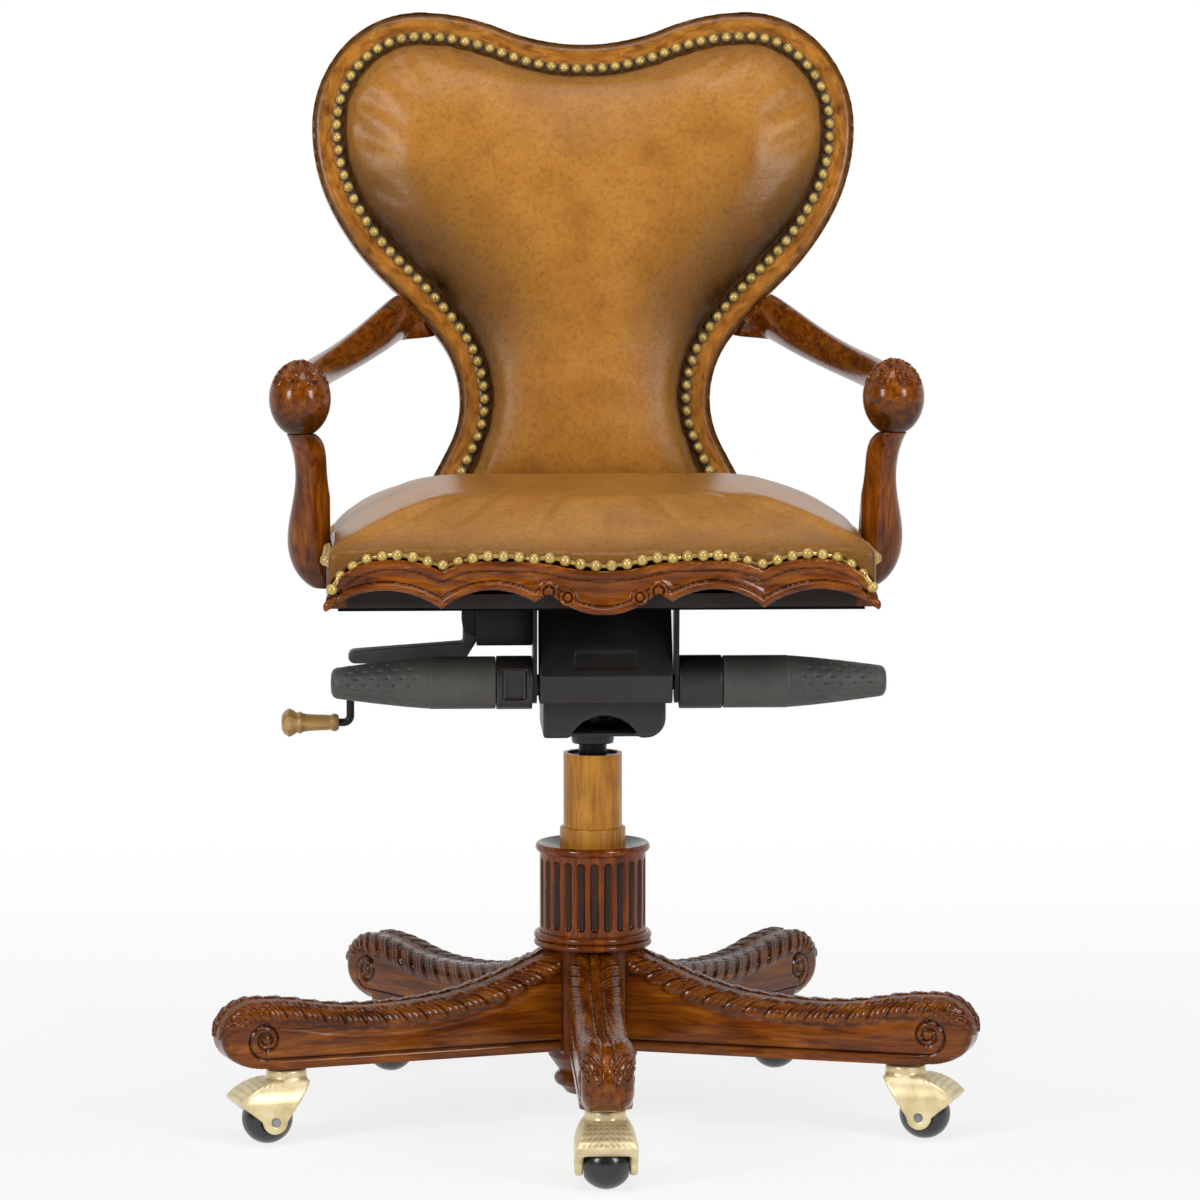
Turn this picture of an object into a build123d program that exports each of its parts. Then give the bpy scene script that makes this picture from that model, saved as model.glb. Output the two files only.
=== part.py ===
from build123d import *
import os
from math import cos, radians, sin, sqrt, tan

# A carved walnut desk chair on a five-leg base, with a gas column and a knee-tilt mechanism.
# Millimetres. The origin is on the floor under the column, +Z is up and the sitter faces -Y.
# Left and right are as seen from the front: left is -X.

# Fits shared by all pieces
RUN_FIT = 0.05            # radial play of a pin or shaft in its bore
SEAT_FIT = 0.1            # play of pieces that are glued or pressed together
MOVE_GAP = 0.6            # flat gap beside a moving piece
SOFT_GAP = 0.4            # gap under and beside upholstery

# Casters
WHEEL_RADIUS = 25.4       # two-inch ball caster
WHEEL_WIDTH = 43.0
WHEEL_AXLE_RADIUS = 4.0
WHEEL_CLEARANCE = 1.4     # between the tread and the hood
CASTER_CIRCLE = 324.0     # stems stand on this radius
CASTER_TRAIL = 20.0
STEM_RADIUS = 5.5
STEM_HEIGHT = 36.0        # stem above the leg's underside
STEM_SEAT = 18.0          # stem inside the hood
SOCKET_WALL = 1.6
SOCKET_FLANGE_RADIUS = 12.0
SOCKET_FLANGE = 2.0
HOOD_WIDTH = 61.0
HOOD_CUP_RADIUS = 20.0
HOOD_CUP_HEIGHT = 10.0
EAR_RADIUS = 12.5
BRIM_REACH = 35.0         # brim beyond the wheel's axle
BRIM_RISE = 19.0          # brim above the wheel's axle
BRIM_LIP = 5.0

# Legs, as heights over radius from the column
LEG_COUNT = 5
LEG_ANGLES = {"front": 270, "front_right": 342, "rear_right": 54, "rear_left": 126, "front_left": 198}
LEG_WIDTH = 50.0
LEG_ROOT = 42.0           # flat of the hub that the leg is glued to
LEG_ROOT_TOP = 178.0
LEG_UNDERSIDE = 77.0
LEG_ROOT_HEADING = -24.0
LEG_NECK = (150.0, 139.5)
LEG_NECK_HEADING = -11.0
LEG_SAG = (241.0, 132.0)
TOE_TOP = (358.0, 144.0)
TOE_TIP = (395.0, 110.0)
TOE_TIP_HEADING = -88.0
TOE_HEEL = 350.0
LEAF_RELIEF = 2.5         # carved leaf band, proud of the sides
LEAF_DROP = 16.0
LEAF_LOBE = 5.0
LEAF_COUNT = 15
SCROLL = (361.0, 107.0)
SCROLL_RADIUS = 19.0
SCROLL_EYE = 6.5
BEAD_RADIUS = 3.5

# Hub, pendant and fluted drum
HUB_DROP = 2.0            # hub below the leg's underside
HUB_RISE = 2.0            # hub above the leg's root
PENDANT_HEIGHT = 45.0
PENDANT_TOP_RADIUS = 45.0
PENDANT_NECK_RADIUS = 33.0
PENDANT_RING_RADIUS = 39.0
PENDANT_RING_HEIGHT = 14.0
PENDANT_FOOT_RADIUS = 27.0
DRUM_HEIGHT = 104.0
DRUM_RADIUS = 53.4
DRUM_TOP_RADIUS = 57.6
DRUM_FOOT_RADIUS = 59.3
DRUM_TOP_BAND = 9.0
DRUM_FOOT_BAND = 14.0
DRUM_DISH = 7.0
DRUM_LEDGE = 22.0         # depth of the pocket that holds sleeve and ring
FLUTE_COUNT = 24
FLUTE_RADIUS = 4.8
FLUTE_DEPTH = 3.2
FLUTE_MARGIN = 5.0        # plain wood above and below the flutes

# Gas column
TUBE_RADIUS = 25.0
TUBE_WALL = 2.0
TUBE_FLOOR = 6.0
TUBE_IN_PENDANT = 15.0
TUBE_BELOW_SLEEVE = 3.0
SLEEVE_RADIUS = 29.45
SLEEVE_SHOWING = 91.0     # sleeve above the drum
RING_WALL = 3.5
RING_SHOWING = 16.0
BUSH_LENGTH = 50.0
CYLINDER_RADIUS = 14.0
CYLINDER_WALL = 2.0
CYLINDER_GUIDE = 20.0
CYLINDER_CAP = 15.0
CYLINDER_IN_SOCKET = 55.0
CYLINDER_LIFT = 30.0      # cylinder's lower end above the tube's floor
ROD_RADIUS = 5.0
ROD_BORE_RADIUS = 1.0     # gas port along the rod
ROD_FLANGE_RADIUS = 10.0
ROD_FLANGE = 4.0
PISTON_LENGTH = 20.0
PISTON_HEADROOM = 95.0    # above the piston at the lowest stop
BEARING_RADIUS = 16.0
BEARING_HEIGHT = 8.0
BUTTON_RADIUS = 3.0
BUTTON_SHOWING = 6.0

# Knee-tilt mechanism
COLUMN_GAP = 9.5          # bare steel between sleeve and socket
SOCKET_TAPER_RADIUS = 21.4
SOCKET_DEPTH = 14.5       # socket below the housing
MECH_X = 9.0              # middle of the housing, to the right of the column
AXLE_Y = -95.0
AXLE_RISE = 59.0          # tilt axle above the housing's floor
TILT_AXLE_RADIUS = 8.0
HOUSING_HALF = 61.0
HOUSING_WALL = 5.0
HOUSING_FRONT = -76.0
HOUSING_REAR = 55.0
HOUSING_HEIGHT = 80.0
HOUSING_LUG_RADIUS = 16.0
HOUSING_CORNER = 20.0
ARCH_HALF = 35.0
ARCH_HEIGHT = 22.0
COVER_HALF = 66.0
COVER_WALL = 3.0
COVER_SKIN = 3.6          # level thickness of the sloping facets
COVER_CROWN = 72.0        # cover heights from the tilt axle
COVER_BROW_RISE = 39.0
COVER_CREASE = 8.0
COVER_FOOT = -20.0
COVER_CROWN_REACH = -13.0 # cover depths in front of the tilt axle
COVER_BROW_REACH = 9.0
COVER_CREASE_REACH = 26.0
COVER_FOOT_REACH = 13.0
BADGE_WIDTH = 62.0
BADGE_HEIGHT = 20.0
BADGE_DEPTH = 1.0
RUBBER_RADIUS = 15.0
RUBBER_LENGTH = 44.0
COLLAR_RADIUS = 26.5
COLLAR_LEFT = 35.5
COLLAR_RIGHT = 42.5
COLLAR_WINDOW = (24.0, 30.0)
COLLAR_WINDOW_DEPTH = 8.0
GRIP_LENGTH = 163.0
GRIP_RADIUS = 26.0
GRIP_BARREL = 65.0
GRIP_TIP_RADIUS = 15.3
GRIP_NOSE = 6.0
GRIP_BORE = 50.0

# Bracket under the seat, lever and crank
BRACKET_RISE = 83.0       # underside of the plate above the tilt axle
PLATE_THICKNESS = 5.0
PLATE_FRONT = -128.0
PLATE_REAR = 95.0
CHEEK_OFFSET = 68.0       # inner face of each cheek from the middle of the mechanism
CHEEK_THICKNESS = 4.0
CHEEK_LUG_RADIUS = 21.0
CHEEK_FRONT = -124.0
CHEEK_REAR = -62.0
BOLT_RADIUS = 4.0
BOLT_HEAD_RADIUS = 7.0
BOLT_HEAD = 5.0
BOLT_GRID = (100.0, 140.0)
BOLT_MIDDLE_Y = 8.0
LEVER_Y = -45.0
LEVER_THICKNESS = 26.0
LEVER_PIVOT = (-118.0, 27.0)   # place along X and depth under the plate
LEVER_PIN_RADIUS = 3.0
LEVER_END_X = -245.0
LEVER_END_DROP = 62.0     # middle of the paddle's end under the plate
LEVER_END_RADIUS = 6.5
LEVER_EYE_RADIUS = 13.0
LEVER_NECK_DROP = 20.8    # top of the paddle's root under the pin
HANGER_THICKNESS = 4.0
HANGER_WIDTH = 28.0
CRANK_Y = 25.0
CRANK_RISE = 34.0         # crank shaft above the housing's floor
CRANK_RADIUS = 4.0
CRANK_INNER_X = -25.0
CRANK_ARM_X = -243.0
CRANK_ARM = 30.0
CRANK_BEND = 7.0
CRANK_SPINDLE = 50.0
KNOB_LENGTH = 58.0
KNOB_COLLAR = (8.0, 9.0)  # place along the knob and radius there
KNOB_NECK = (22.0, 8.0)
KNOB_FLARE = (49.0, 14.5)
KNOB_MOUTH_RADIUS = 7.0
KNOB_END_RADIUS = 7.0
KNOB_MOUTH_HEADING = 40.0
KNOB_END_HEADING = -60.0

# Seat frame
DUST_COVER = 2.0
DUST_COVER_INSET = 12.0
BOARD_THICKNESS = 14.0
RAIL_HEIGHT = 50.0
RAIL_THICKNESS = 28.0
SEAT_FRONT = -288.0       # middle of the serpentine front
SEAT_HOLLOW = (150.0, -268.0)
SEAT_HOLLOW_HEADING = 10.0
SEAT_CORNER = (267.0, -254.0)
SEAT_CORNER_HEADING = 95.0
SEAT_SIDE = 262.0
SEAT_SIDE_FRONT = -110.0
SEAT_SIDE_REAR = -20.0
SEAT_BACK_HALF = 212.0
SEAT_TAPER = 23.0         # heading of the sides at the back, off straight
SEAT_BACK = 230.0
FRONT_RAIL_BACK = -238.0
BACK_RAIL_FRONT = 190.0
BACK_RAIL_HEIGHT = 84.0
BACK_RAIL_END = 44.0      # its height at the ends, outside the back
BACK_RAIL_RAMP = 30.0     # length of the slope down to the ends
BLOCK_SIZE = 58.0
BLOCK_HEIGHT = 30.0
# Front rail's lower and upper edges: half widths and heights over the rail's bottom
APRON_LOBE = -1.0
APRON_SCROLL = (52.0, 21.0)
APRON_LIP = (66.0, 11.0)
APRON_INNER_ARCH = (112.0, 22.0)
APRON_CUSP = (155.0, 3.0)
APRON_OUTER_ARCH = (206.0, 20.0)
APRON_TIP = -1.0
CREST_MIDDLE = 41.0
CREST_INNER = (80.0, 50.0)
CREST_DIP = (155.0, 39.0)
CREST_DIP_HEADING = 30.0
CREST_OUTER = (203.0, 50.0)
CREST_TIP = 8.0
CREST_TIP_HEADING = -78.0

# Upholstery and back
PAD_REAR = 186.0
PAD_HEIGHT = 46.0         # crown of the seat above the rails
# Crowns: share of the height and how far the outline is drawn in there
PAD_CROWN = ((0, 0), (0.25, 3), (0.55, 24), (0.8, 52), (0.95, 84), (1, 115))
BACK_CROWN = ((0, 0), (0.3, 2), (0.65, 13), (0.9, 35), (1, 66))
PAD_SIDE_INSET = 1.0
PAD_LIP = 1.5             # lip over the front rail, measured into the pad
PAD_LIP_INSET = 0.6       # lip inside the pad's edge
RECLINE = 9.0
BACK_FOOT_Y = 195.0
BACK_THICKNESS = 33.0
BACK_NOTCH = 449.5        # heights along the reclined frame from its foot
BACK_TOP = (169.0, 483.0)
BACK_LOBE = (280.0, 364.0)
BACK_FLANK = (206.0, 205.0)
BACK_FLANK_HEADING = -136.0
BACK_WAIST = (129.0, 81.0)
BACK_FOOT_HALF = 158.0
BACK_FOOT_HEADING = -62.0
BACK_BAND = 45.0          # width of the frame around its opening
BACK_BAND_FOOT = 16.0
BACK_PAD_INSET = 27.0
BACK_PAD_FOOT = 4.0
BACK_PAD_CROWN = 35.0
BACK_PANEL = 10.0

# Arms
ARM_BACK_HEIGHT = 168.0   # where the arm meets the back, over the back rail
ARM_BACK_HALF = 162.0
ARM_BACK_SINK = 14.0      # arm's end inside the back frame before it is cut to it
ARM_ELBOW = (198.0, 150.0, 237.0)    # x, y and height over the rail's bottom
ARM_MIDDLE = (239.0, 60.0, 220.0)
ARM_FORE = (272.0, -30.0, 211.0)
ARM_HALF_WIDTHS = (14.0, 15.0, 14.5, 14.5, 15.0)      # from the back to the ball
ARM_HALF_HEIGHTS = (23.0, 20.5, 17.0, 16.5, 17.0)
ARM_OVER_BALL = 8.0       # arm's end above the ball's middle
BALL = (291.0, -120.0, 194.0)
BALL_RADIUS = 30.5
BALL_HALF_HEIGHT = 38.0
BALL_FLAT = 34.0          # cut under the ball's middle, where the post is dowelled in
POST_TOP_HALF = 14.0
POST_NECK = (281.0, -100.0, 129.0)
POST_NECK_HALF = 15.8
POST_CALF = (280.0, -84.0, 85.0)
POST_CALF_HALF = 20.0
POST_HEEL = (279.0, -72.0, 42.0)
POST_HEEL_HALF = 25.0
POST_ANKLE = (276.0, -70.0, 18.0)
POST_ANKLE_HALF = 20.0
POST_SOLE = (268.0, -70.0, 2.0)
POST_SOLE_HALF = 11.0
POST_DEPTH = 1.08         # depth over width of each section

# Heights that follow from the stack of pieces
HOOD_TOP = LEG_UNDERSIDE - SOCKET_FLANGE - MOVE_GAP / 2
HUB_BOTTOM = LEG_UNDERSIDE - HUB_DROP
HUB_TOP = LEG_ROOT_TOP + HUB_RISE
DRUM_TOP = HUB_TOP + DRUM_HEIGHT
POCKET_FLOOR = DRUM_TOP - DRUM_LEDGE
SLEEVE_TOP = DRUM_TOP + SLEEVE_SHOWING
RING_RADIUS = SLEEVE_RADIUS + SEAT_FIT + RING_WALL
TUBE_BOTTOM = HUB_BOTTOM - TUBE_IN_PENDANT
TUBE_TOP = SLEEVE_TOP - TUBE_BELOW_SLEEVE
TUBE_BORE = TUBE_RADIUS - TUBE_WALL
BEARING_TOP = TUBE_BOTTOM + TUBE_FLOOR + BEARING_HEIGHT
CYLINDER_BOTTOM = TUBE_BOTTOM + CYLINDER_LIFT
SOCKET_BOTTOM = SLEEVE_TOP + COLUMN_GAP
CYLINDER_TOP = SOCKET_BOTTOM + CYLINDER_IN_SOCKET
CYLINDER_BORE = CYLINDER_RADIUS - CYLINDER_WALL
PISTON_TOP = CYLINDER_TOP - CYLINDER_CAP - PISTON_HEADROOM
HOUSING_FLOOR = SOCKET_BOTTOM + SOCKET_DEPTH
AXLE_Z = HOUSING_FLOOR + AXLE_RISE
CRANK_Z = HOUSING_FLOOR + CRANK_RISE
PLATE_Z = AXLE_Z + BRACKET_RISE
RAIL_BOTTOM = PLATE_Z + PLATE_THICKNESS + DUST_COVER
BOARD_TOP = RAIL_BOTTOM + BOARD_THICKNESS
RAIL_TOP = RAIL_BOTTOM + RAIL_HEIGHT
BACK_FOOT_Z = RAIL_BOTTOM + BACK_RAIL_HEIGHT
COLLAR_START = CHEEK_OFFSET + CHEEK_THICKNESS + MOVE_GAP
GRIP_LEFT_X = MECH_X - COLLAR_START - COLLAR_LEFT - MOVE_GAP
GRIP_RIGHT_X = MECH_X + COLLAR_START + COLLAR_RIGHT + MOVE_GAP
LEVER_PIVOT_Z = PLATE_Z - LEVER_PIVOT[1]
BACK_PLANE = Plane(
    origin=(0, BACK_FOOT_Y, BACK_FOOT_Z),
    x_dir=(1, 0, 0),
    z_dir=(0, -cos(radians(RECLINE)), sin(radians(RECLINE))),
)

os.makedirs("parts", exist_ok=True)


def save(builder, name):
    """Label a finished piece and write it under its own name."""
    builder.part.label = name
    export_step(builder.part, f"parts/{name}.step")


def direction(heading):
    """Unit vector in a sketch, from a heading in degrees."""
    return Vector(cos(radians(heading)), sin(radians(heading)))


def biarcs(knots):
    """Draw tangent arcs through knots, each a point and the curve's heading there."""
    for (start, heading), (end, next_heading) in zip(knots, knots[1:]):
        here, there = Vector(start), Vector(end)
        leave, arrive = direction(heading), direction(next_heading)
        chord = there - here
        bend = 1 - leave.dot(arrive)
        along = chord.dot(leave + arrive)
        if bend < 1e-6:
            reach = chord.dot(chord) / (2 * along)
        else:
            reach = (sqrt(along**2 + 2 * bend * chord.dot(chord)) - along) / (2 * bend)
        joint = (here + leave * reach + there - arrive * reach) / 2
        for point, tangent in ((here, leave), (there, -arrive)):
            if abs(tangent.cross(joint - point).Z) < 1e-6 * chord.length:
                Line(point, joint)
            else:
                TangentArc(point, joint, tangent=tangent)


def inset(knots, amount):
    """Move knots to the right of their heading, which is inward on a clockwise outline."""
    right = [Vector(sin(radians(h)), -cos(radians(h))) for _, h in knots]
    return [(Vector(p) + n * amount, h) for (p, h), n in zip(knots, right)]


def leg_side(angle, radius=0.0):
    """Upright plane along a leg: x runs outward from the given radius and y runs up."""
    out = Vector(cos(radians(angle)), sin(radians(angle)), 0)
    return Plane(origin=out * radius, x_dir=out, z_dir=(out.Y, -out.X, 0))


def leg_end(angle, radius):
    """Upright plane square to a leg at the given radius: x runs across and y runs up."""
    out = Vector(cos(radians(angle)), sin(radians(angle)), 0)
    return Plane(origin=out * radius, x_dir=(-out.Y, out.X, 0), z_dir=out)


def leg_level(angle, radius, height):
    """Level plane over a point of a leg: x runs outward and y runs across."""
    out = Vector(cos(radians(angle)), sin(radians(angle)), 0)
    return Plane(origin=out * radius + Vector(0, 0, height), x_dir=out, z_dir=(0, 0, 1))


def tube(outer, inner, bottom, top):
    """Add an upright tube on the column's axis to the piece being built."""
    level = (Align.CENTER, Align.CENTER, Align.MIN)
    with Locations((0, 0, bottom)):
        Cylinder(outer, top - bottom, align=level)
        Cylinder(inner, top - bottom, align=level, mode=Mode.SUBTRACT)


# Casters: a ball wheel on an axle in a brass hood that swivels on its stem
def build_caster_wheel(angle):
    middle = leg_level(angle, CASTER_CIRCLE + CASTER_TRAIL, WHEEL_RADIUS)
    half = WHEEL_WIDTH / 2
    bore = WHEEL_AXLE_RADIUS + RUN_FIT
    face = sqrt(WHEEL_RADIUS**2 - half**2)
    with BuildPart() as wheel:
        with BuildSketch(middle):
            with BuildLine():
                Polyline((face, half), (bore, half), (bore, -half), (face, -half))
                ThreePointArc((face, -half), (WHEEL_RADIUS, 0), (face, half))
            make_face()
        revolve(axis=Axis(middle.origin, middle.y_dir))
    return wheel


def build_caster_hood(angle):
    side = leg_side(angle, CASTER_CIRCLE)
    half = HOOD_WIDTH / 2
    axle = Vector(CASTER_TRAIL, WHEEL_RADIUS)
    cup_bottom = HOOD_TOP - HOOD_CUP_HEIGHT
    brim = axle + Vector(BRIM_REACH, BRIM_RISE)
    lip = brim + Vector(-BRIM_LIP, -BRIM_LIP)
    slot_radius = WHEEL_RADIUS + WHEEL_CLEARANCE
    slot_half = WHEEL_WIDTH / 2 + MOVE_GAP
    shoulder = axle.Y + BRIM_RISE / 2
    with BuildPart() as hood:
        with BuildSketch(side):
            with BuildLine():
                Polyline(lip, brim)
                ThreePointArc(
                    brim,
                    (brim.X - BRIM_REACH / 3, axle.Y + slot_radius + 2 * BRIM_LIP / 3),
                    (HOOD_CUP_RADIUS, cup_bottom),
                )
                Polyline(
                    (HOOD_CUP_RADIUS, cup_bottom),
                    (HOOD_CUP_RADIUS, HOOD_TOP),
                    (-HOOD_CUP_RADIUS, HOOD_TOP),
                    (-HOOD_CUP_RADIUS, cup_bottom),
                    (axle.X - EAR_RADIUS, axle.Y),
                )
                ThreePointArc(
                    (axle.X - EAR_RADIUS, axle.Y),
                    (axle.X, axle.Y - EAR_RADIUS),
                    (axle.X + EAR_RADIUS, axle.Y),
                )
                Line((axle.X + EAR_RADIUS, axle.Y), lip)
            make_face()
        extrude(amount=half, both=True)
        with BuildSketch(leg_end(angle, CASTER_CIRCLE)):
            with BuildLine():
                Polyline((0, 0), (half, 0), (half, shoulder))
                ThreePointArc(
                    (half, shoulder),
                    (half - BRIM_LIP / 2, (shoulder + cup_bottom) / 2 + BRIM_LIP / 2),
                    (HOOD_CUP_RADIUS, cup_bottom),
                )
                Polyline((HOOD_CUP_RADIUS, cup_bottom), (HOOD_CUP_RADIUS, HOOD_TOP), (0, HOOD_TOP))
                mirror(about=Plane.YZ)
            make_face()
        extrude(amount=CASTER_TRAIL + 2 * BRIM_REACH, both=True, mode=Mode.INTERSECT)
        with BuildSketch(side):
            with Locations(axle):
                Circle(slot_radius)
            with Locations(axle - Vector(0, WHEEL_RADIUS / 2)):
                Rectangle(2 * slot_radius, WHEEL_RADIUS)
        extrude(amount=slot_half, both=True, mode=Mode.SUBTRACT)
        with BuildSketch(side):
            with Locations(axle):
                Circle(WHEEL_AXLE_RADIUS + RUN_FIT)
        extrude(amount=half, both=True, mode=Mode.SUBTRACT)
        with BuildSketch(leg_level(angle, CASTER_CIRCLE, HOOD_TOP)):
            Rectangle(3 * HOOD_CUP_RADIUS, 3 * HOOD_CUP_RADIUS)
            Circle(HOOD_CUP_RADIUS, mode=Mode.SUBTRACT)
        extrude(amount=-HOOD_CUP_HEIGHT, mode=Mode.SUBTRACT)
        with BuildSketch(leg_level(angle, CASTER_CIRCLE, HOOD_TOP)):
            Circle(STEM_RADIUS + RUN_FIT)
        extrude(amount=-STEM_SEAT, mode=Mode.SUBTRACT)
    return hood


def build_caster_pins(angle):
    with BuildPart() as pins:
        with BuildSketch(leg_level(angle, CASTER_CIRCLE, HOOD_TOP - STEM_SEAT)):
            Circle(STEM_RADIUS)
        extrude(amount=LEG_UNDERSIDE + STEM_HEIGHT - HOOD_TOP + STEM_SEAT)
        with BuildSketch(leg_side(angle, CASTER_CIRCLE)):
            with Locations((CASTER_TRAIL, WHEEL_RADIUS)):
                Circle(WHEEL_AXLE_RADIUS)
        extrude(amount=HOOD_WIDTH / 2, both=True)
    return pins


for place, leg_angle in LEG_ANGLES.items():
    save(build_caster_wheel(leg_angle), f"caster_wheel_{place}")
    save(build_caster_hood(leg_angle), f"caster_hood_{place}")
    save(build_caster_pins(leg_angle), f"caster_pins_{place}")

# Steel sockets for the caster stems, driven into the legs
SOCKET_RADIUS = STEM_RADIUS + RUN_FIT + SOCKET_WALL
SOCKET_HEIGHT = STEM_HEIGHT + SOCKET_WALL
with BuildPart() as caster_sockets:
    for leg_angle in LEG_ANGLES.values():
        with BuildSketch(leg_level(leg_angle, CASTER_CIRCLE, LEG_UNDERSIDE)):
            Circle(SOCKET_FLANGE_RADIUS)
        extrude(amount=-SOCKET_FLANGE)
        with BuildSketch(leg_level(leg_angle, CASTER_CIRCLE, LEG_UNDERSIDE)):
            Circle(SOCKET_RADIUS)
        extrude(amount=SOCKET_HEIGHT)
        with BuildSketch(leg_level(leg_angle, CASTER_CIRCLE, LEG_UNDERSIDE - SOCKET_FLANGE)):
            Circle(STEM_RADIUS + RUN_FIT)
        extrude(amount=SOCKET_FLANGE + STEM_HEIGHT + RUN_FIT, mode=Mode.SUBTRACT)
save(caster_sockets, "caster_sockets")

# Legs: a sawn S-shaped blank with a carved leaf band, a toe scroll and a bead along the foot
LEG_TOP_KNOTS = [
    ((LEG_ROOT, LEG_ROOT_TOP), LEG_ROOT_HEADING),
    (LEG_NECK, LEG_NECK_HEADING),
    (LEG_SAG, 0),
    (TOE_TOP, 0),
    (TOE_TIP, TOE_TIP_HEADING),
]
with BuildLine() as leg_crest:
    biarcs(LEG_TOP_KNOTS[:-1])


def build_leg(angle):
    side = leg_side(angle)
    crest = leg_crest.wire()
    steps = [i / LEAF_COUNT for i in range(LEAF_COUNT + 1)]
    down = [crest.tangent_at(t).rotate(Axis.Z, -90) for t in steps]
    cusps = [crest.position_at(t) + d * LEAF_DROP for t, d in zip(steps, down)]
    cusps[0] = Vector(LEG_ROOT, cusps[0].Y)
    with BuildPart() as leg:
        with BuildSketch(side):
            with BuildLine():
                biarcs(LEG_TOP_KNOTS + [((TOE_HEEL, LEG_UNDERSIDE), 180)])
                Polyline(
                    (TOE_HEEL, LEG_UNDERSIDE),
                    (LEG_ROOT, LEG_UNDERSIDE),
                    (LEG_ROOT, LEG_ROOT_TOP),
                )
            make_face()
        extrude(amount=LEG_WIDTH / 2, both=True)
        with BuildSketch(side):
            with BuildLine():
                biarcs(LEG_TOP_KNOTS[:-1])
                Line(crest.position_at(0), cusps[0])
                for left, right, d in zip(cusps, cusps[1:], down[1:]):
                    ThreePointArc(left, (left + right) / 2 + d * LEAF_LOBE, right)
                Line(cusps[-1], crest.position_at(1))
            make_face()
        extrude(amount=LEG_WIDTH / 2 + LEAF_RELIEF, both=True)
        with BuildSketch(side):
            with Locations(SCROLL):
                Circle(SCROLL_RADIUS)
        extrude(amount=LEG_WIDTH / 2 + LEAF_RELIEF, both=True)
        with BuildSketch(side):
            with Locations(SCROLL):
                Circle(SCROLL_EYE)
        extrude(amount=LEG_WIDTH / 2 + 2 * LEAF_RELIEF, both=True)
        with BuildSketch(leg_end(angle, LEG_ROOT)):
            with Locations(*[(s * LEG_WIDTH / 2, LEG_UNDERSIDE + BEAD_RADIUS) for s in (-1, 1)]):
                Circle(BEAD_RADIUS)
        extrude(amount=TOE_HEEL - LEG_ROOT)
        with BuildSketch(leg_level(angle, CASTER_CIRCLE, LEG_UNDERSIDE)):
            Circle(SOCKET_RADIUS + SEAT_FIT)
        extrude(amount=SOCKET_HEIGHT + SEAT_FIT, mode=Mode.SUBTRACT)
    return leg


for place, leg_angle in LEG_ANGLES.items():
    save(build_leg(leg_angle), f"leg_{place}")

# Hub: a pentagonal block that the legs are glued to, bored for the gas column
with BuildPart() as hub:
    with BuildSketch(Plane.XY.offset(HUB_BOTTOM)):
        RegularPolygon(LEG_ROOT, LEG_COUNT, major_radius=False, rotation=90)
        Circle(TUBE_RADIUS + SEAT_FIT, mode=Mode.SUBTRACT)
    extrude(amount=HUB_TOP - HUB_BOTTOM)
save(hub, "hub")

# Turned pendant under the hub, hollowed for the column's lower end
with BuildPart() as pendant:
    foot = HUB_BOTTOM - PENDANT_HEIGHT
    ring = foot + PENDANT_RING_HEIGHT / 2
    with BuildSketch(Plane.XZ):
        with BuildLine():
            Polyline(
                (PENDANT_NECK_RADIUS, ring + PENDANT_RING_HEIGHT),
                (PENDANT_TOP_RADIUS, HUB_BOTTOM - PENDANT_RING_HEIGHT / 2),
                (PENDANT_TOP_RADIUS, HUB_BOTTOM),
                (TUBE_RADIUS + SEAT_FIT, HUB_BOTTOM),
                (TUBE_RADIUS + SEAT_FIT, TUBE_BOTTOM),
                (0, TUBE_BOTTOM),
                (0, foot),
                (PENDANT_FOOT_RADIUS, foot),
                (PENDANT_NECK_RADIUS, ring),
            )
            ThreePointArc(
                (PENDANT_NECK_RADIUS, ring),
                (PENDANT_RING_RADIUS, ring + PENDANT_RING_HEIGHT / 2),
                (PENDANT_NECK_RADIUS, ring + PENDANT_RING_HEIGHT),
            )
        make_face()
    revolve(axis=Axis.Z)
save(pendant, "pendant")

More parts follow.
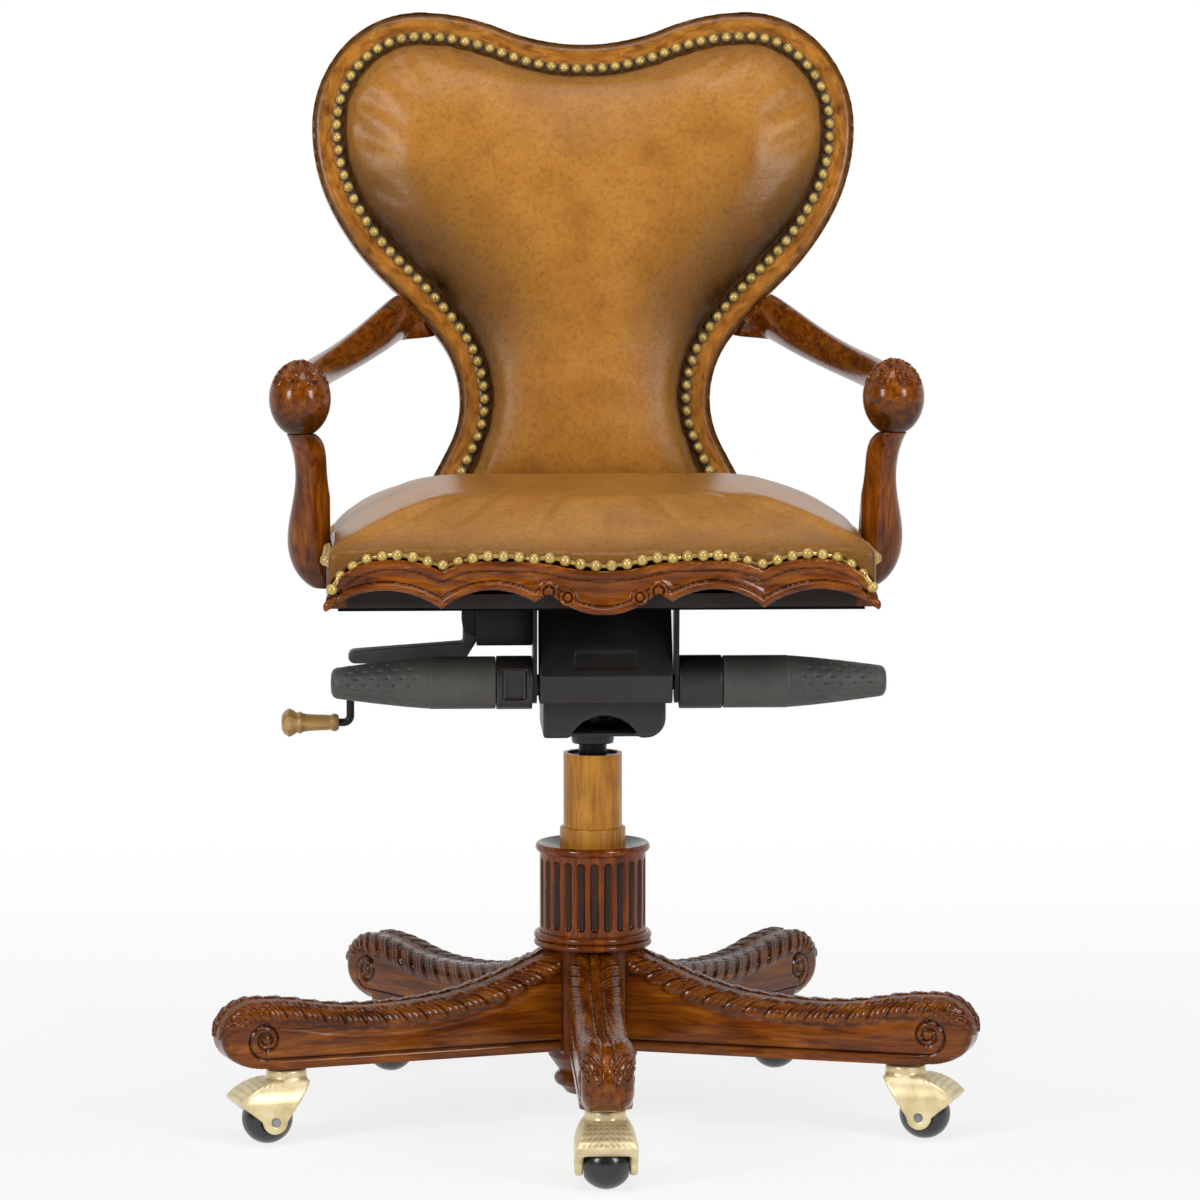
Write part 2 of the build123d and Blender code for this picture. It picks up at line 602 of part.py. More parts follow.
# Fluted drum on the hub, with beaded bands, a dished top and a pocket for the sleeve
with BuildPart() as fluted_drum:
    pocket = RING_RADIUS + SEAT_FIT
    with BuildSketch(Plane.XZ):
        with BuildLine():
            Polyline(
                (DRUM_FOOT_RADIUS - DRUM_FOOT_BAND / 4, HUB_TOP),
                (TUBE_RADIUS + SEAT_FIT, HUB_TOP),
                (TUBE_RADIUS + SEAT_FIT, POCKET_FLOOR),
                (pocket, POCKET_FLOOR),
                (pocket, DRUM_TOP - DRUM_DISH),
                (DRUM_RADIUS, DRUM_TOP),
                (DRUM_TOP_RADIUS - DRUM_TOP_BAND / 4, DRUM_TOP),
            )
            ThreePointArc(
                (DRUM_TOP_RADIUS - DRUM_TOP_BAND / 4, DRUM_TOP),
                (DRUM_TOP_RADIUS, DRUM_TOP - DRUM_TOP_BAND / 2),
                (DRUM_RADIUS, DRUM_TOP - DRUM_TOP_BAND),
            )
            Line((DRUM_RADIUS, DRUM_TOP - DRUM_TOP_BAND), (DRUM_RADIUS, HUB_TOP + DRUM_FOOT_BAND))
            ThreePointArc(
                (DRUM_RADIUS, HUB_TOP + DRUM_FOOT_BAND),
                (DRUM_FOOT_RADIUS, HUB_TOP + 3 * DRUM_FOOT_BAND / 4),
                (DRUM_FOOT_RADIUS - DRUM_FOOT_BAND / 4, HUB_TOP + DRUM_FOOT_BAND / 2),
            )
            ThreePointArc(
                (DRUM_FOOT_RADIUS - DRUM_FOOT_BAND / 4, HUB_TOP + DRUM_FOOT_BAND / 2),
                (DRUM_FOOT_RADIUS, HUB_TOP + DRUM_FOOT_BAND / 4),
                (DRUM_FOOT_RADIUS - DRUM_FOOT_BAND / 4, HUB_TOP),
            )
        make_face()
    revolve(axis=Axis.Z)
    flute_bottom = HUB_TOP + DRUM_FOOT_BAND + FLUTE_MARGIN + FLUTE_RADIUS
    flute_top = DRUM_TOP - DRUM_TOP_BAND - FLUTE_MARGIN - FLUTE_RADIUS
    flute_circle = DRUM_RADIUS + FLUTE_RADIUS - FLUTE_DEPTH
    with BuildSketch(Plane.XY.offset(flute_bottom)):
        with PolarLocations(flute_circle, FLUTE_COUNT):
            Circle(FLUTE_RADIUS)
    extrude(amount=flute_top - flute_bottom, mode=Mode.SUBTRACT)
    for height in (flute_bottom, flute_top):
        with Locations((0, 0, height)):
            with PolarLocations(flute_circle, FLUTE_COUNT):
                Sphere(FLUTE_RADIUS, mode=Mode.SUBTRACT)
save(fluted_drum, "fluted_drum")

# Wooden sleeve over the column and the turned ring at its foot
with BuildPart() as column_sleeve:
    tube(SLEEVE_RADIUS, TUBE_RADIUS + SEAT_FIT, POCKET_FLOOR, SLEEVE_TOP)
save(column_sleeve, "column_sleeve")

with BuildPart() as sleeve_ring:
    tube(RING_RADIUS, SLEEVE_RADIUS + SEAT_FIT, POCKET_FLOOR, DRUM_TOP + RING_SHOWING)
    fillet(sleeve_ring.edges().group_by(Axis.Z)[-1].sort_by(SortBy.RADIUS)[-1], RING_WALL / 2)
save(sleeve_ring, "sleeve_ring")

# Gas column: outer tube, guide bush and thrust bearing stay with the base
with BuildPart() as gas_column:
    tube(TUBE_RADIUS, TUBE_BORE, TUBE_BOTTOM + TUBE_FLOOR, TUBE_TOP)
    tube(TUBE_RADIUS, ROD_RADIUS + MOVE_GAP, TUBE_BOTTOM, TUBE_BOTTOM + TUBE_FLOOR)
save(gas_column, "gas_column")

with BuildPart() as column_bush:
    tube(TUBE_BORE - SEAT_FIT, CYLINDER_RADIUS + RUN_FIT, TUBE_TOP - BUSH_LENGTH, TUBE_TOP)
save(column_bush, "column_bush")

with BuildPart() as thrust_bearing:
    tube(BEARING_RADIUS, ROD_RADIUS + MOVE_GAP, TUBE_BOTTOM + TUBE_FLOOR, BEARING_TOP)
save(thrust_bearing, "thrust_bearing")

# Piston rod: turns on the thrust bearing and reaches up into the gas cylinder
with BuildPart() as piston_rod:
    tube(ROD_RADIUS, ROD_BORE_RADIUS, TUBE_BOTTOM + MOVE_GAP, PISTON_TOP)
    with BuildSketch(Plane.XY.offset(BEARING_TOP + RUN_FIT)):
        Circle(ROD_FLANGE_RADIUS)
    extrude(amount=ROD_FLANGE)
    with BuildSketch(Plane.XY.offset(PISTON_TOP - PISTON_LENGTH)):
        Circle(CYLINDER_BORE - RUN_FIT)
    extrude(amount=PISTON_LENGTH)
save(piston_rod, "piston_rod")

# Gas cylinder: slides in the bush and carries the mechanism on its upper end
with BuildPart() as gas_cylinder:
    tube(CYLINDER_RADIUS, ROD_RADIUS + RUN_FIT, CYLINDER_BOTTOM, CYLINDER_BOTTOM + CYLINDER_GUIDE)
    tube(CYLINDER_RADIUS, CYLINDER_BORE, CYLINDER_BOTTOM + CYLINDER_GUIDE, CYLINDER_TOP - CYLINDER_CAP)
    tube(CYLINDER_RADIUS, BUTTON_RADIUS + RUN_FIT, CYLINDER_TOP - CYLINDER_CAP, CYLINDER_TOP)
save(gas_cylinder, "gas_cylinder")

with BuildPart() as release_button:
    with BuildSketch(Plane.XY.offset(CYLINDER_TOP - CYLINDER_CAP)):
        Circle(BUTTON_RADIUS)
    extrude(amount=CYLINDER_CAP + BUTTON_SHOWING)
save(release_button, "release_button")

# Tilt housing: an open cast tray with lugs for the axle and a socket for the gas cylinder
MECH_MIDDLE = Plane.YZ.offset(MECH_X)
with BuildPart() as tilt_housing:
    with BuildSketch(MECH_MIDDLE):
        with BuildLine():
            Polyline(
                (AXLE_Y, AXLE_Z - HOUSING_LUG_RADIUS),
                (HOUSING_FRONT, AXLE_Z - HOUSING_LUG_RADIUS),
                (HOUSING_FRONT, HOUSING_FLOOR),
                (HOUSING_REAR - HOUSING_CORNER, HOUSING_FLOOR),
                (HOUSING_REAR, HOUSING_FLOOR + HOUSING_CORNER),
                (HOUSING_REAR, HOUSING_FLOOR + HOUSING_HEIGHT - HOUSING_CORNER),
                (HOUSING_REAR - HOUSING_CORNER, HOUSING_FLOOR + HOUSING_HEIGHT),
                (HOUSING_FRONT, HOUSING_FLOOR + HOUSING_HEIGHT),
                (AXLE_Y, AXLE_Z + HOUSING_LUG_RADIUS),
            )
            ThreePointArc(
                (AXLE_Y, AXLE_Z + HOUSING_LUG_RADIUS),
                (AXLE_Y - HOUSING_LUG_RADIUS, AXLE_Z),
                (AXLE_Y, AXLE_Z - HOUSING_LUG_RADIUS),
            )
        make_face()
    extrude(amount=HOUSING_HALF, both=True)
    fillet(tilt_housing.edges().filter_by(Axis.Y).group_by(Axis.Z)[0].sort_by(Axis.X)[-1], HOUSING_CORNER)
    with BuildSketch(MECH_MIDDLE):
        with BuildLine():
            Polyline(
                (HOUSING_FRONT + HOUSING_WALL, HOUSING_FLOOR + HOUSING_WALL),
                (HOUSING_REAR - HOUSING_CORNER, HOUSING_FLOOR + HOUSING_WALL),
                (HOUSING_REAR - HOUSING_WALL, HOUSING_FLOOR + HOUSING_CORNER),
                (HOUSING_REAR - HOUSING_WALL, HOUSING_FLOOR + HOUSING_HEIGHT),
                (AXLE_Y - HOUSING_LUG_RADIUS, HOUSING_FLOOR + HOUSING_HEIGHT),
                (AXLE_Y - HOUSING_LUG_RADIUS, AXLE_Z - HOUSING_LUG_RADIUS),
                (HOUSING_FRONT + HOUSING_WALL, AXLE_Z - HOUSING_LUG_RADIUS),
                close=True,
            )
        make_face()
    extrude(amount=HOUSING_HALF - HOUSING_WALL, both=True, mode=Mode.SUBTRACT)
    with BuildSketch(Plane((MECH_X, HOUSING_FRONT, HOUSING_FLOOR), x_dir=(1, 0, 0), z_dir=(0, -1, 0))):
        with BuildLine():
            Line((-ARCH_HALF, 0), (ARCH_HALF, 0))
            ThreePointArc((-ARCH_HALF, 0), (0, ARCH_HEIGHT), (ARCH_HALF, 0))
        make_face()
    extrude(amount=-2 * HOUSING_WALL, mode=Mode.SUBTRACT)
    with BuildSketch(Plane.XY.offset(SOCKET_BOTTOM)):
        Circle(SOCKET_TAPER_RADIUS)
    extrude(amount=CYLINDER_IN_SOCKET - CYLINDER_CAP / 2)
    with BuildSketch(Plane.XY.offset(SOCKET_BOTTOM)):
        Circle(CYLINDER_RADIUS + SEAT_FIT)
    extrude(amount=CYLINDER_IN_SOCKET, mode=Mode.SUBTRACT)
    with BuildSketch(MECH_MIDDLE):
        with Locations((AXLE_Y, AXLE_Z)):
            Circle(TILT_AXLE_RADIUS + SEAT_FIT)
    extrude(amount=HOUSING_HALF, both=True, mode=Mode.SUBTRACT)
    with BuildSketch(MECH_MIDDLE):
        with Locations((CRANK_Y, CRANK_Z)):
            Circle(CRANK_RADIUS + RUN_FIT)
    extrude(amount=-HOUSING_HALF, mode=Mode.SUBTRACT)
save(tilt_housing, "tilt_housing")

# Front cover: a creased moulding over the axle, with a bare recess on its upper facet
COVER_HEAD = Vector(AXLE_Y - COVER_CROWN_REACH, AXLE_Z + COVER_CROWN)
COVER_BROW = Vector(AXLE_Y - COVER_BROW_REACH, AXLE_Z + COVER_BROW_RISE)
COVER_NOSE = Vector(AXLE_Y - COVER_CREASE_REACH, AXLE_Z + COVER_CREASE)
COVER_CHIN = Vector(AXLE_Y - COVER_FOOT_REACH, AXLE_Z + COVER_FOOT)
with BuildPart() as front_cover:
    with BuildSketch(MECH_MIDDLE):
        with BuildLine():
            Polyline(
                (HOUSING_FRONT, COVER_HEAD.Y),
                COVER_HEAD,
                COVER_BROW,
                COVER_NOSE,
                COVER_CHIN,
                (HOUSING_FRONT - HOUSING_WALL, COVER_CHIN.Y),
                (HOUSING_FRONT - HOUSING_WALL, COVER_BROW.Y - COVER_WALL - HOUSING_WALL),
                (HOUSING_FRONT, COVER_BROW.Y - COVER_WALL),
                close=True,
            )
        make_face()
    extrude(amount=COVER_HALF, both=True)
    with BuildSketch(MECH_MIDDLE):
        with BuildLine():
            Polyline(
                (HOUSING_FRONT, COVER_HEAD.Y - COVER_WALL),
                (HOUSING_FRONT - COVER_WALL / 2, COVER_HEAD.Y - COVER_WALL),
                (COVER_BROW.X + COVER_SKIN, COVER_BROW.Y),
                (COVER_NOSE.X + COVER_SKIN, COVER_NOSE.Y),
                (COVER_CHIN.X + COVER_WALL, COVER_CHIN.Y + COVER_WALL),
                (HOUSING_FRONT, COVER_CHIN.Y + COVER_WALL),
                close=True,
            )
        make_face()
    extrude(amount=HOUSING_HALF + SEAT_FIT, both=True, mode=Mode.SUBTRACT)
    with BuildSketch(MECH_MIDDLE):
        with Locations((AXLE_Y, AXLE_Z)):
            Circle(TILT_AXLE_RADIUS + SEAT_FIT)
    extrude(amount=COVER_HALF, both=True, mode=Mode.SUBTRACT)
    facet = COVER_BROW - COVER_NOSE
    facet_middle = (COVER_BROW + COVER_NOSE) / 2
    with BuildSketch(
        Plane(
            origin=(MECH_X, facet_middle.X, facet_middle.Y),
            x_dir=(1, 0, 0),
            z_dir=(0, -facet.Y, facet.X),
        )
    ):
        RectangleRounded(BADGE_WIDTH, BADGE_HEIGHT, 2 * BADGE_DEPTH)
    extrude(amount=-BADGE_DEPTH, mode=Mode.SUBTRACT)
save(front_cover, "front_cover")

# Tilt axle with its rubber torsion packs, end collars and hand grips
GRIP_LEFT_END = GRIP_LEFT_X - GRIP_BORE
GRIP_RIGHT_END = GRIP_RIGHT_X + GRIP_BORE
with BuildPart() as tilt_axle:
    with BuildSketch(Plane.YZ.offset(GRIP_LEFT_END)):
        with Locations((AXLE_Y, AXLE_Z)):
            Circle(TILT_AXLE_RADIUS)
    extrude(amount=GRIP_RIGHT_END - GRIP_LEFT_END)
save(tilt_axle, "tilt_axle")

with BuildPart() as torsion_rubbers:
    for side in (-1, 1):
        with BuildSketch(Plane.YZ.offset(MECH_X + side * (HOUSING_HALF - HOUSING_WALL - RUBBER_LENGTH / 2))):
            with Locations((AXLE_Y, AXLE_Z)):
                Circle(RUBBER_RADIUS)
                Circle(TILT_AXLE_RADIUS + SEAT_FIT, mode=Mode.SUBTRACT)
        extrude(amount=RUBBER_LENGTH / 2, both=True)
save(torsion_rubbers, "torsion_rubbers")

with BuildPart() as axle_collars:
    for side, length in ((-1, COLLAR_LEFT), (1, COLLAR_RIGHT)):
        with BuildSketch(Plane.YZ.offset(MECH_X + side * COLLAR_START)):
            with Locations((AXLE_Y, AXLE_Z)):
                Circle(COLLAR_RADIUS)
                Circle(TILT_AXLE_RADIUS + SEAT_FIT, mode=Mode.SUBTRACT)
        extrude(amount=side * length)
    with BuildSketch(Plane.XZ.offset(COLLAR_RADIUS - AXLE_Y)):
        with Locations((MECH_X - COLLAR_START - COLLAR_LEFT / 2, AXLE_Z)):
            Rectangle(*COLLAR_WINDOW)
    extrude(amount=-COLLAR_WINDOW_DEPTH, mode=Mode.SUBTRACT)
save(axle_collars, "axle_collars")


def build_grip(start, outward):
    """A turned hand grip, slid over the axle's end at start and pointing outward along X."""
    axis_plane = Plane(origin=(start, AXLE_Y, AXLE_Z), x_dir=(outward, 0, 0), z_dir=(0, -outward, 0))
    with BuildPart() as grip:
        with BuildSketch(axis_plane):
            with BuildLine():
                Polyline(
                    (GRIP_LENGTH, 0),
                    (GRIP_BORE + MOVE_GAP, 0),
                    (GRIP_BORE + MOVE_GAP, TILT_AXLE_RADIUS + RUN_FIT),
                    (0, TILT_AXLE_RADIUS + RUN_FIT),
                    (0, GRIP_RADIUS),
                    (GRIP_BARREL, GRIP_RADIUS),
                    (GRIP_LENGTH - GRIP_NOSE, GRIP_TIP_RADIUS),
                )
                TangentArc(
                    (GRIP_LENGTH, 0),
                    (GRIP_LENGTH - GRIP_NOSE, GRIP_TIP_RADIUS),
                    tangent=(0, 1),
                )
            make_face()
        revolve(axis=Axis(axis_plane.origin, axis_plane.x_dir))
    return grip


save(build_grip(GRIP_LEFT_X, -1), "grip_left")
save(build_grip(GRIP_RIGHT_X, 1), "grip_right")

# Seat bracket: a plate with two cheeks on the tilt axle and a hanger for the lift lever
HANGER_OFFSET = LEVER_THICKNESS / 2 + MOVE_GAP
with BuildPart() as seat_bracket:
    cheek_outer = CHEEK_OFFSET + CHEEK_THICKNESS
    with BuildSketch(Plane.XY.offset(PLATE_Z)):
        with Locations((MECH_X, (PLATE_FRONT + PLATE_REAR) / 2)):
            Rectangle(2 * cheek_outer, PLATE_REAR - PLATE_FRONT)
        tab_start = LEVER_PIVOT[0] - HANGER_WIDTH / 2
        with Locations(((tab_start + MECH_X) / 2, LEVER_Y)):
            Rectangle(MECH_X - tab_start, 2 * (HANGER_OFFSET + HANGER_THICKNESS))
    extrude(amount=PLATE_THICKNESS)
    for side in (-1, 1):
        with BuildSketch(Plane.YZ.offset(MECH_X + side * CHEEK_OFFSET)):
            with BuildLine():
                Polyline(
                    (AXLE_Y - CHEEK_LUG_RADIUS, AXLE_Z),
                    (CHEEK_FRONT, PLATE_Z),
                    (CHEEK_REAR, PLATE_Z),
                    (AXLE_Y + CHEEK_LUG_RADIUS, AXLE_Z),
                )
                ThreePointArc(
                    (AXLE_Y + CHEEK_LUG_RADIUS, AXLE_Z),
                    (AXLE_Y, AXLE_Z - CHEEK_LUG_RADIUS),
                    (AXLE_Y - CHEEK_LUG_RADIUS, AXLE_Z),
                )
            make_face()
            with Locations((AXLE_Y, AXLE_Z)):
                Circle(TILT_AXLE_RADIUS + RUN_FIT, mode=Mode.SUBTRACT)
        extrude(amount=side * CHEEK_THICKNESS)
        with BuildSketch(Plane.XZ.offset(-LEVER_Y - side * HANGER_OFFSET)):
            with Locations((LEVER_PIVOT[0], LEVER_PIVOT_Z)):
                Circle(HANGER_WIDTH / 2)
            with Locations((LEVER_PIVOT[0], (LEVER_PIVOT_Z + PLATE_Z) / 2)):
                Rectangle(HANGER_WIDTH, LEVER_PIVOT[1])
            with Locations((LEVER_PIVOT[0], LEVER_PIVOT_Z)):
                Circle(LEVER_PIN_RADIUS + RUN_FIT, mode=Mode.SUBTRACT)
        extrude(amount=-side * HANGER_THICKNESS)
    with BuildSketch(Plane.XY.offset(PLATE_Z)):
        with Locations((MECH_X, BOLT_MIDDLE_Y)):
            with GridLocations(*BOLT_GRID, 2, 2):
                Circle(BOLT_RADIUS + SEAT_FIT)
    extrude(amount=PLATE_THICKNESS, mode=Mode.SUBTRACT)
save(seat_bracket, "seat_bracket")

with BuildPart() as lever_pin:
    with BuildSketch(Plane.XZ.offset(-LEVER_Y)):
        with Locations((LEVER_PIVOT[0], LEVER_PIVOT_Z)):
            Circle(LEVER_PIN_RADIUS)
    extrude(amount=HANGER_OFFSET + HANGER_THICKNESS, both=True)
save(lever_pin, "lever_pin")

# Lift lever: an eye on the pin, a sloping neck and a rounded paddle
with BuildPart() as lift_lever:
    end = Vector(LEVER_END_X + LEVER_END_RADIUS, PLATE_Z - LEVER_END_DROP)
    eye = Vector(LEVER_PIVOT[0], LEVER_PIVOT_Z)
    neck = Vector(eye.X - LEVER_EYE_RADIUS, eye.Y - LEVER_NECK_DROP)
    with BuildSketch(Plane.XZ.offset(-LEVER_Y)):
        with Locations(eye):
            Circle(LEVER_EYE_RADIUS)
        with BuildLine():
            Polyline(
                (eye.X + LEVER_EYE_RADIUS, eye.Y),
                (eye.X - LEVER_EYE_RADIUS, eye.Y),
                neck,
                (end.X, end.Y + LEVER_END_RADIUS),
            )
            ThreePointArc(
                (end.X, end.Y + LEVER_END_RADIUS),
                (end.X - LEVER_END_RADIUS, end.Y),
                (end.X, end.Y - LEVER_END_RADIUS),
            )
            Polyline(
                (end.X, end.Y - LEVER_END_RADIUS),
                (neck.X, end.Y - LEVER_END_RADIUS),
                (eye.X + LEVER_EYE_RADIUS, eye.Y),
            )
        make_face()
        with Locations(eye):
            Circle(LEVER_PIN_RADIUS + RUN_FIT, mode=Mode.SUBTRACT)
    extrude(amount=LEVER_THICKNESS / 2, both=True)
save(lift_lever, "lift_lever")

# Tension crank: a bent rod through the housing's wall, with a turned wooden knob
KNOB_AXIS_Z = CRANK_Z - CRANK_ARM
KNOB_START_X = CRANK_ARM_X - CRANK_RADIUS - MOVE_GAP
with BuildPart() as crank_rod:
    with BuildLine(Plane.XZ.offset(-CRANK_Y)) as crank_path:
        FilletPolyline(
            (CRANK_INNER_X, CRANK_Z),
            (CRANK_ARM_X, CRANK_Z),
            (CRANK_ARM_X, KNOB_AXIS_Z),
            (KNOB_START_X - CRANK_SPINDLE, KNOB_AXIS_Z),
            radius=CRANK_BEND,
        )
    with BuildSketch(Plane.YZ.offset(CRANK_INNER_X)):
        with Locations((CRANK_Y, CRANK_Z)):
            Circle(CRANK_RADIUS)
    sweep()
save(crank_rod, "crank_rod")

with BuildPart() as crank_knob:
    knob_start = KNOB_START_X - CRANK_BEND
    knob_plane = Plane(origin=(knob_start, CRANK_Y, KNOB_AXIS_Z), x_dir=(-1, 0, 0), z_dir=(0, 1, 0))
    bore_depth = CRANK_SPINDLE - CRANK_BEND + MOVE_GAP
    with BuildSketch(knob_plane):
        with BuildLine():
            Polyline(
                (KNOB_LENGTH, 0),
                (bore_depth, 0),
                (bore_depth, CRANK_RADIUS + RUN_FIT),
                (0, CRANK_RADIUS + RUN_FIT),
                (0, KNOB_MOUTH_RADIUS),
            )
            biarcs(
                [
                    ((0, KNOB_MOUTH_RADIUS), KNOB_MOUTH_HEADING),
                    (KNOB_COLLAR, 0),
                    (KNOB_NECK, 0),
                    (KNOB_FLARE, 0),
                    ((KNOB_LENGTH, KNOB_END_RADIUS), KNOB_END_HEADING),
                ]
            )
            Line((KNOB_LENGTH, KNOB_END_RADIUS), (KNOB_LENGTH, 0))
        make_face()
    revolve(axis=Axis(knob_plane.origin, knob_plane.x_dir))
save(crank_knob, "crank_knob")


# Seat frame: rails round a plywood board, drawn from one plan
def seat_plan(amount, back):
    """Plan of the seat, drawn in from its edge and closed along a straight back."""
    corner = (SEAT_CORNER[0] - amount, SEAT_CORNER[1] + amount)
    hollow = (SEAT_HOLLOW[0] * corner[0] / SEAT_CORNER[0], SEAT_HOLLOW[1] + amount)
    taper = (back - SEAT_SIDE_REAR) / (SEAT_BACK - SEAT_SIDE_REAR)
    rear = (SEAT_SIDE + (SEAT_BACK_HALF - SEAT_SIDE) * taper**2 - amount, back)
    with BuildSketch() as plan:
        with BuildLine():
            biarcs([((0, SEAT_FRONT + amount), 0), (hollow, SEAT_HOLLOW_HEADING), (corner, 0)])
            biarcs(
                [
                    (corner, SEAT_CORNER_HEADING),
                    ((SEAT_SIDE - amount, SEAT_SIDE_FRONT), 90),
                    ((SEAT_SIDE - amount, SEAT_SIDE_REAR), 90),
                    (rear, 90 + SEAT_TAPER * taper),
                ]
            )
            Line(rear, (0, back))
            mirror(about=Plane.YZ)
        make_face()
    return plan.sketch_local


def crest_edge():
    """Right half of the front rail's upper edge, over the rail's bottom."""
    biarcs([((0, CREST_MIDDLE), 0), (CREST_INNER, 0), (CREST_DIP, -CREST_DIP_HEADING)])
    tip = (SEAT_CORNER[0], CREST_TIP)
    biarcs([(CREST_DIP, CREST_DIP_HEADING), (CREST_OUTER, 0), (tip, CREST_TIP_HEADING)])


with BuildPart() as front_rail:
    with BuildSketch(Plane((0, FRONT_RAIL_BACK, RAIL_BOTTOM), x_dir=(1, 0, 0), z_dir=(0, -1, 0))):
        with BuildLine():
            Line(APRON_SCROLL, APRON_LIP)
            ThreePointArc(APRON_LIP, APRON_INNER_ARCH, APRON_CUSP)
            ThreePointArc(APRON_CUSP, APRON_OUTER_ARCH, (SEAT_CORNER[0], APRON_TIP))
            Line((SEAT_CORNER[0], APRON_TIP), (SEAT_CORNER[0], CREST_TIP))
            crest_edge()
            mirror(about=Plane.YZ)
            ThreePointArc((-APRON_SCROLL[0], APRON_SCROLL[1]), (0, APRON_LOBE), APRON_SCROLL)
        make_face()
    extrude(amount=FRONT_RAIL_BACK - SEAT_FRONT)
    with BuildSketch(Plane.XY.offset(RAIL_BOTTOM + APRON_LOBE)):
        add(seat_plan(0, SEAT_BACK))
    extrude(amount=2 * RAIL_HEIGHT, mode=Mode.INTERSECT)
save(front_rail, "front_rail")

for name, keep in (("side_rail_left", Keep.BOTTOM), ("side_rail_right", Keep.TOP)):
    with BuildPart() as side_rail:
        with BuildSketch(Plane.XY.offset(RAIL_BOTTOM)):
            add(seat_plan(0, SEAT_BACK))
        extrude(amount=RAIL_HEIGHT)
        with BuildSketch(Plane.XY.offset(RAIL_BOTTOM)):
            add(seat_plan(RAIL_THICKNESS, SEAT_BACK))
        extrude(amount=RAIL_HEIGHT, mode=Mode.SUBTRACT)
        split(bisect_by=Plane.XZ.offset(-FRONT_RAIL_BACK), keep=Keep.BOTTOM)
        split(bisect_by=Plane.XZ.offset(-BACK_RAIL_FRONT), keep=Keep.TOP)
        split(bisect_by=Plane.YZ, keep=keep)
    save(side_rail, name)

with BuildPart() as back_rail:
    with BuildSketch(Plane.XY.offset(RAIL_BOTTOM)):
        add(seat_plan(0, SEAT_BACK))
    extrude(amount=BACK_RAIL_HEIGHT)
    split(bisect_by=Plane.XZ.offset(-BACK_RAIL_FRONT), keep=Keep.BOTTOM)
    with BuildSketch(Plane((0, SEAT_BACK, RAIL_BOTTOM), x_dir=(1, 0, 0), z_dir=(0, -1, 0))):
        with BuildLine():
            Polyline(
                (0, 0),
                (SEAT_SIDE, 0),
                (SEAT_SIDE, BACK_RAIL_END),
                (BACK_FOOT_HALF + BACK_RAIL_RAMP, BACK_RAIL_END),
                (BACK_FOOT_HALF, BACK_RAIL_HEIGHT),
                (0, BACK_RAIL_HEIGHT),
            )
            mirror(about=Plane.YZ)
        make_face()
    extrude(amount=SEAT_BACK - BACK_RAIL_FRONT, mode=Mode.INTERSECT)
save(back_rail, "back_rail")

with BuildPart() as seat_board:
    with BuildSketch(Plane.XY.offset(RAIL_BOTTOM)):
        add(seat_plan(RAIL_THICKNESS + SEAT_FIT, SEAT_BACK))
    extrude(amount=BOARD_THICKNESS)
    split(bisect_by=Plane.XZ.offset(-FRONT_RAIL_BACK), keep=Keep.BOTTOM)
    split(bisect_by=Plane.XZ.offset(-BACK_RAIL_FRONT), keep=Keep.TOP)
    with BuildSketch(Plane.XY.offset(RAIL_BOTTOM)):
        with Locations((MECH_X, BOLT_MIDDLE_Y)):
            with GridLocations(*BOLT_GRID, 2, 2):
                Circle(BOLT_RADIUS + SEAT_FIT)
    extrude(amount=BOARD_THICKNESS, mode=Mode.SUBTRACT)
save(seat_board, "seat_board")

with BuildPart() as dust_cover:
    with BuildSketch(Plane.XY.offset(RAIL_BOTTOM)):
        add(seat_plan(DUST_COVER_INSET, SEAT_BACK - DUST_COVER_INSET))
        with Locations((MECH_X, BOLT_MIDDLE_Y)):
            with GridLocations(*BOLT_GRID, 2, 2):
                Circle(BOLT_RADIUS + SEAT_FIT, mode=Mode.SUBTRACT)
    extrude(amount=-DUST_COVER)
    split(bisect_by=Plane.XZ.offset(-FRONT_RAIL_BACK), keep=Keep.BOTTOM)
save(dust_cover, "dust_cover")

with BuildPart() as bracket_bolts:
    with BuildSketch(Plane.XY.offset(PLATE_Z)):
        with Locations((MECH_X, BOLT_MIDDLE_Y)):
            with GridLocations(*BOLT_GRID, 2, 2):
                Circle(BOLT_HEAD_RADIUS)
    extrude(amount=-BOLT_HEAD)
    with BuildSketch(Plane.XY.offset(PLATE_Z)):
        with Locations((MECH_X, BOLT_MIDDLE_Y)):
            with GridLocations(*BOLT_GRID, 2, 2):
                Circle(BOLT_RADIUS)
    extrude(amount=BOARD_TOP - PLATE_Z)
save(bracket_bolts, "bracket_bolts")

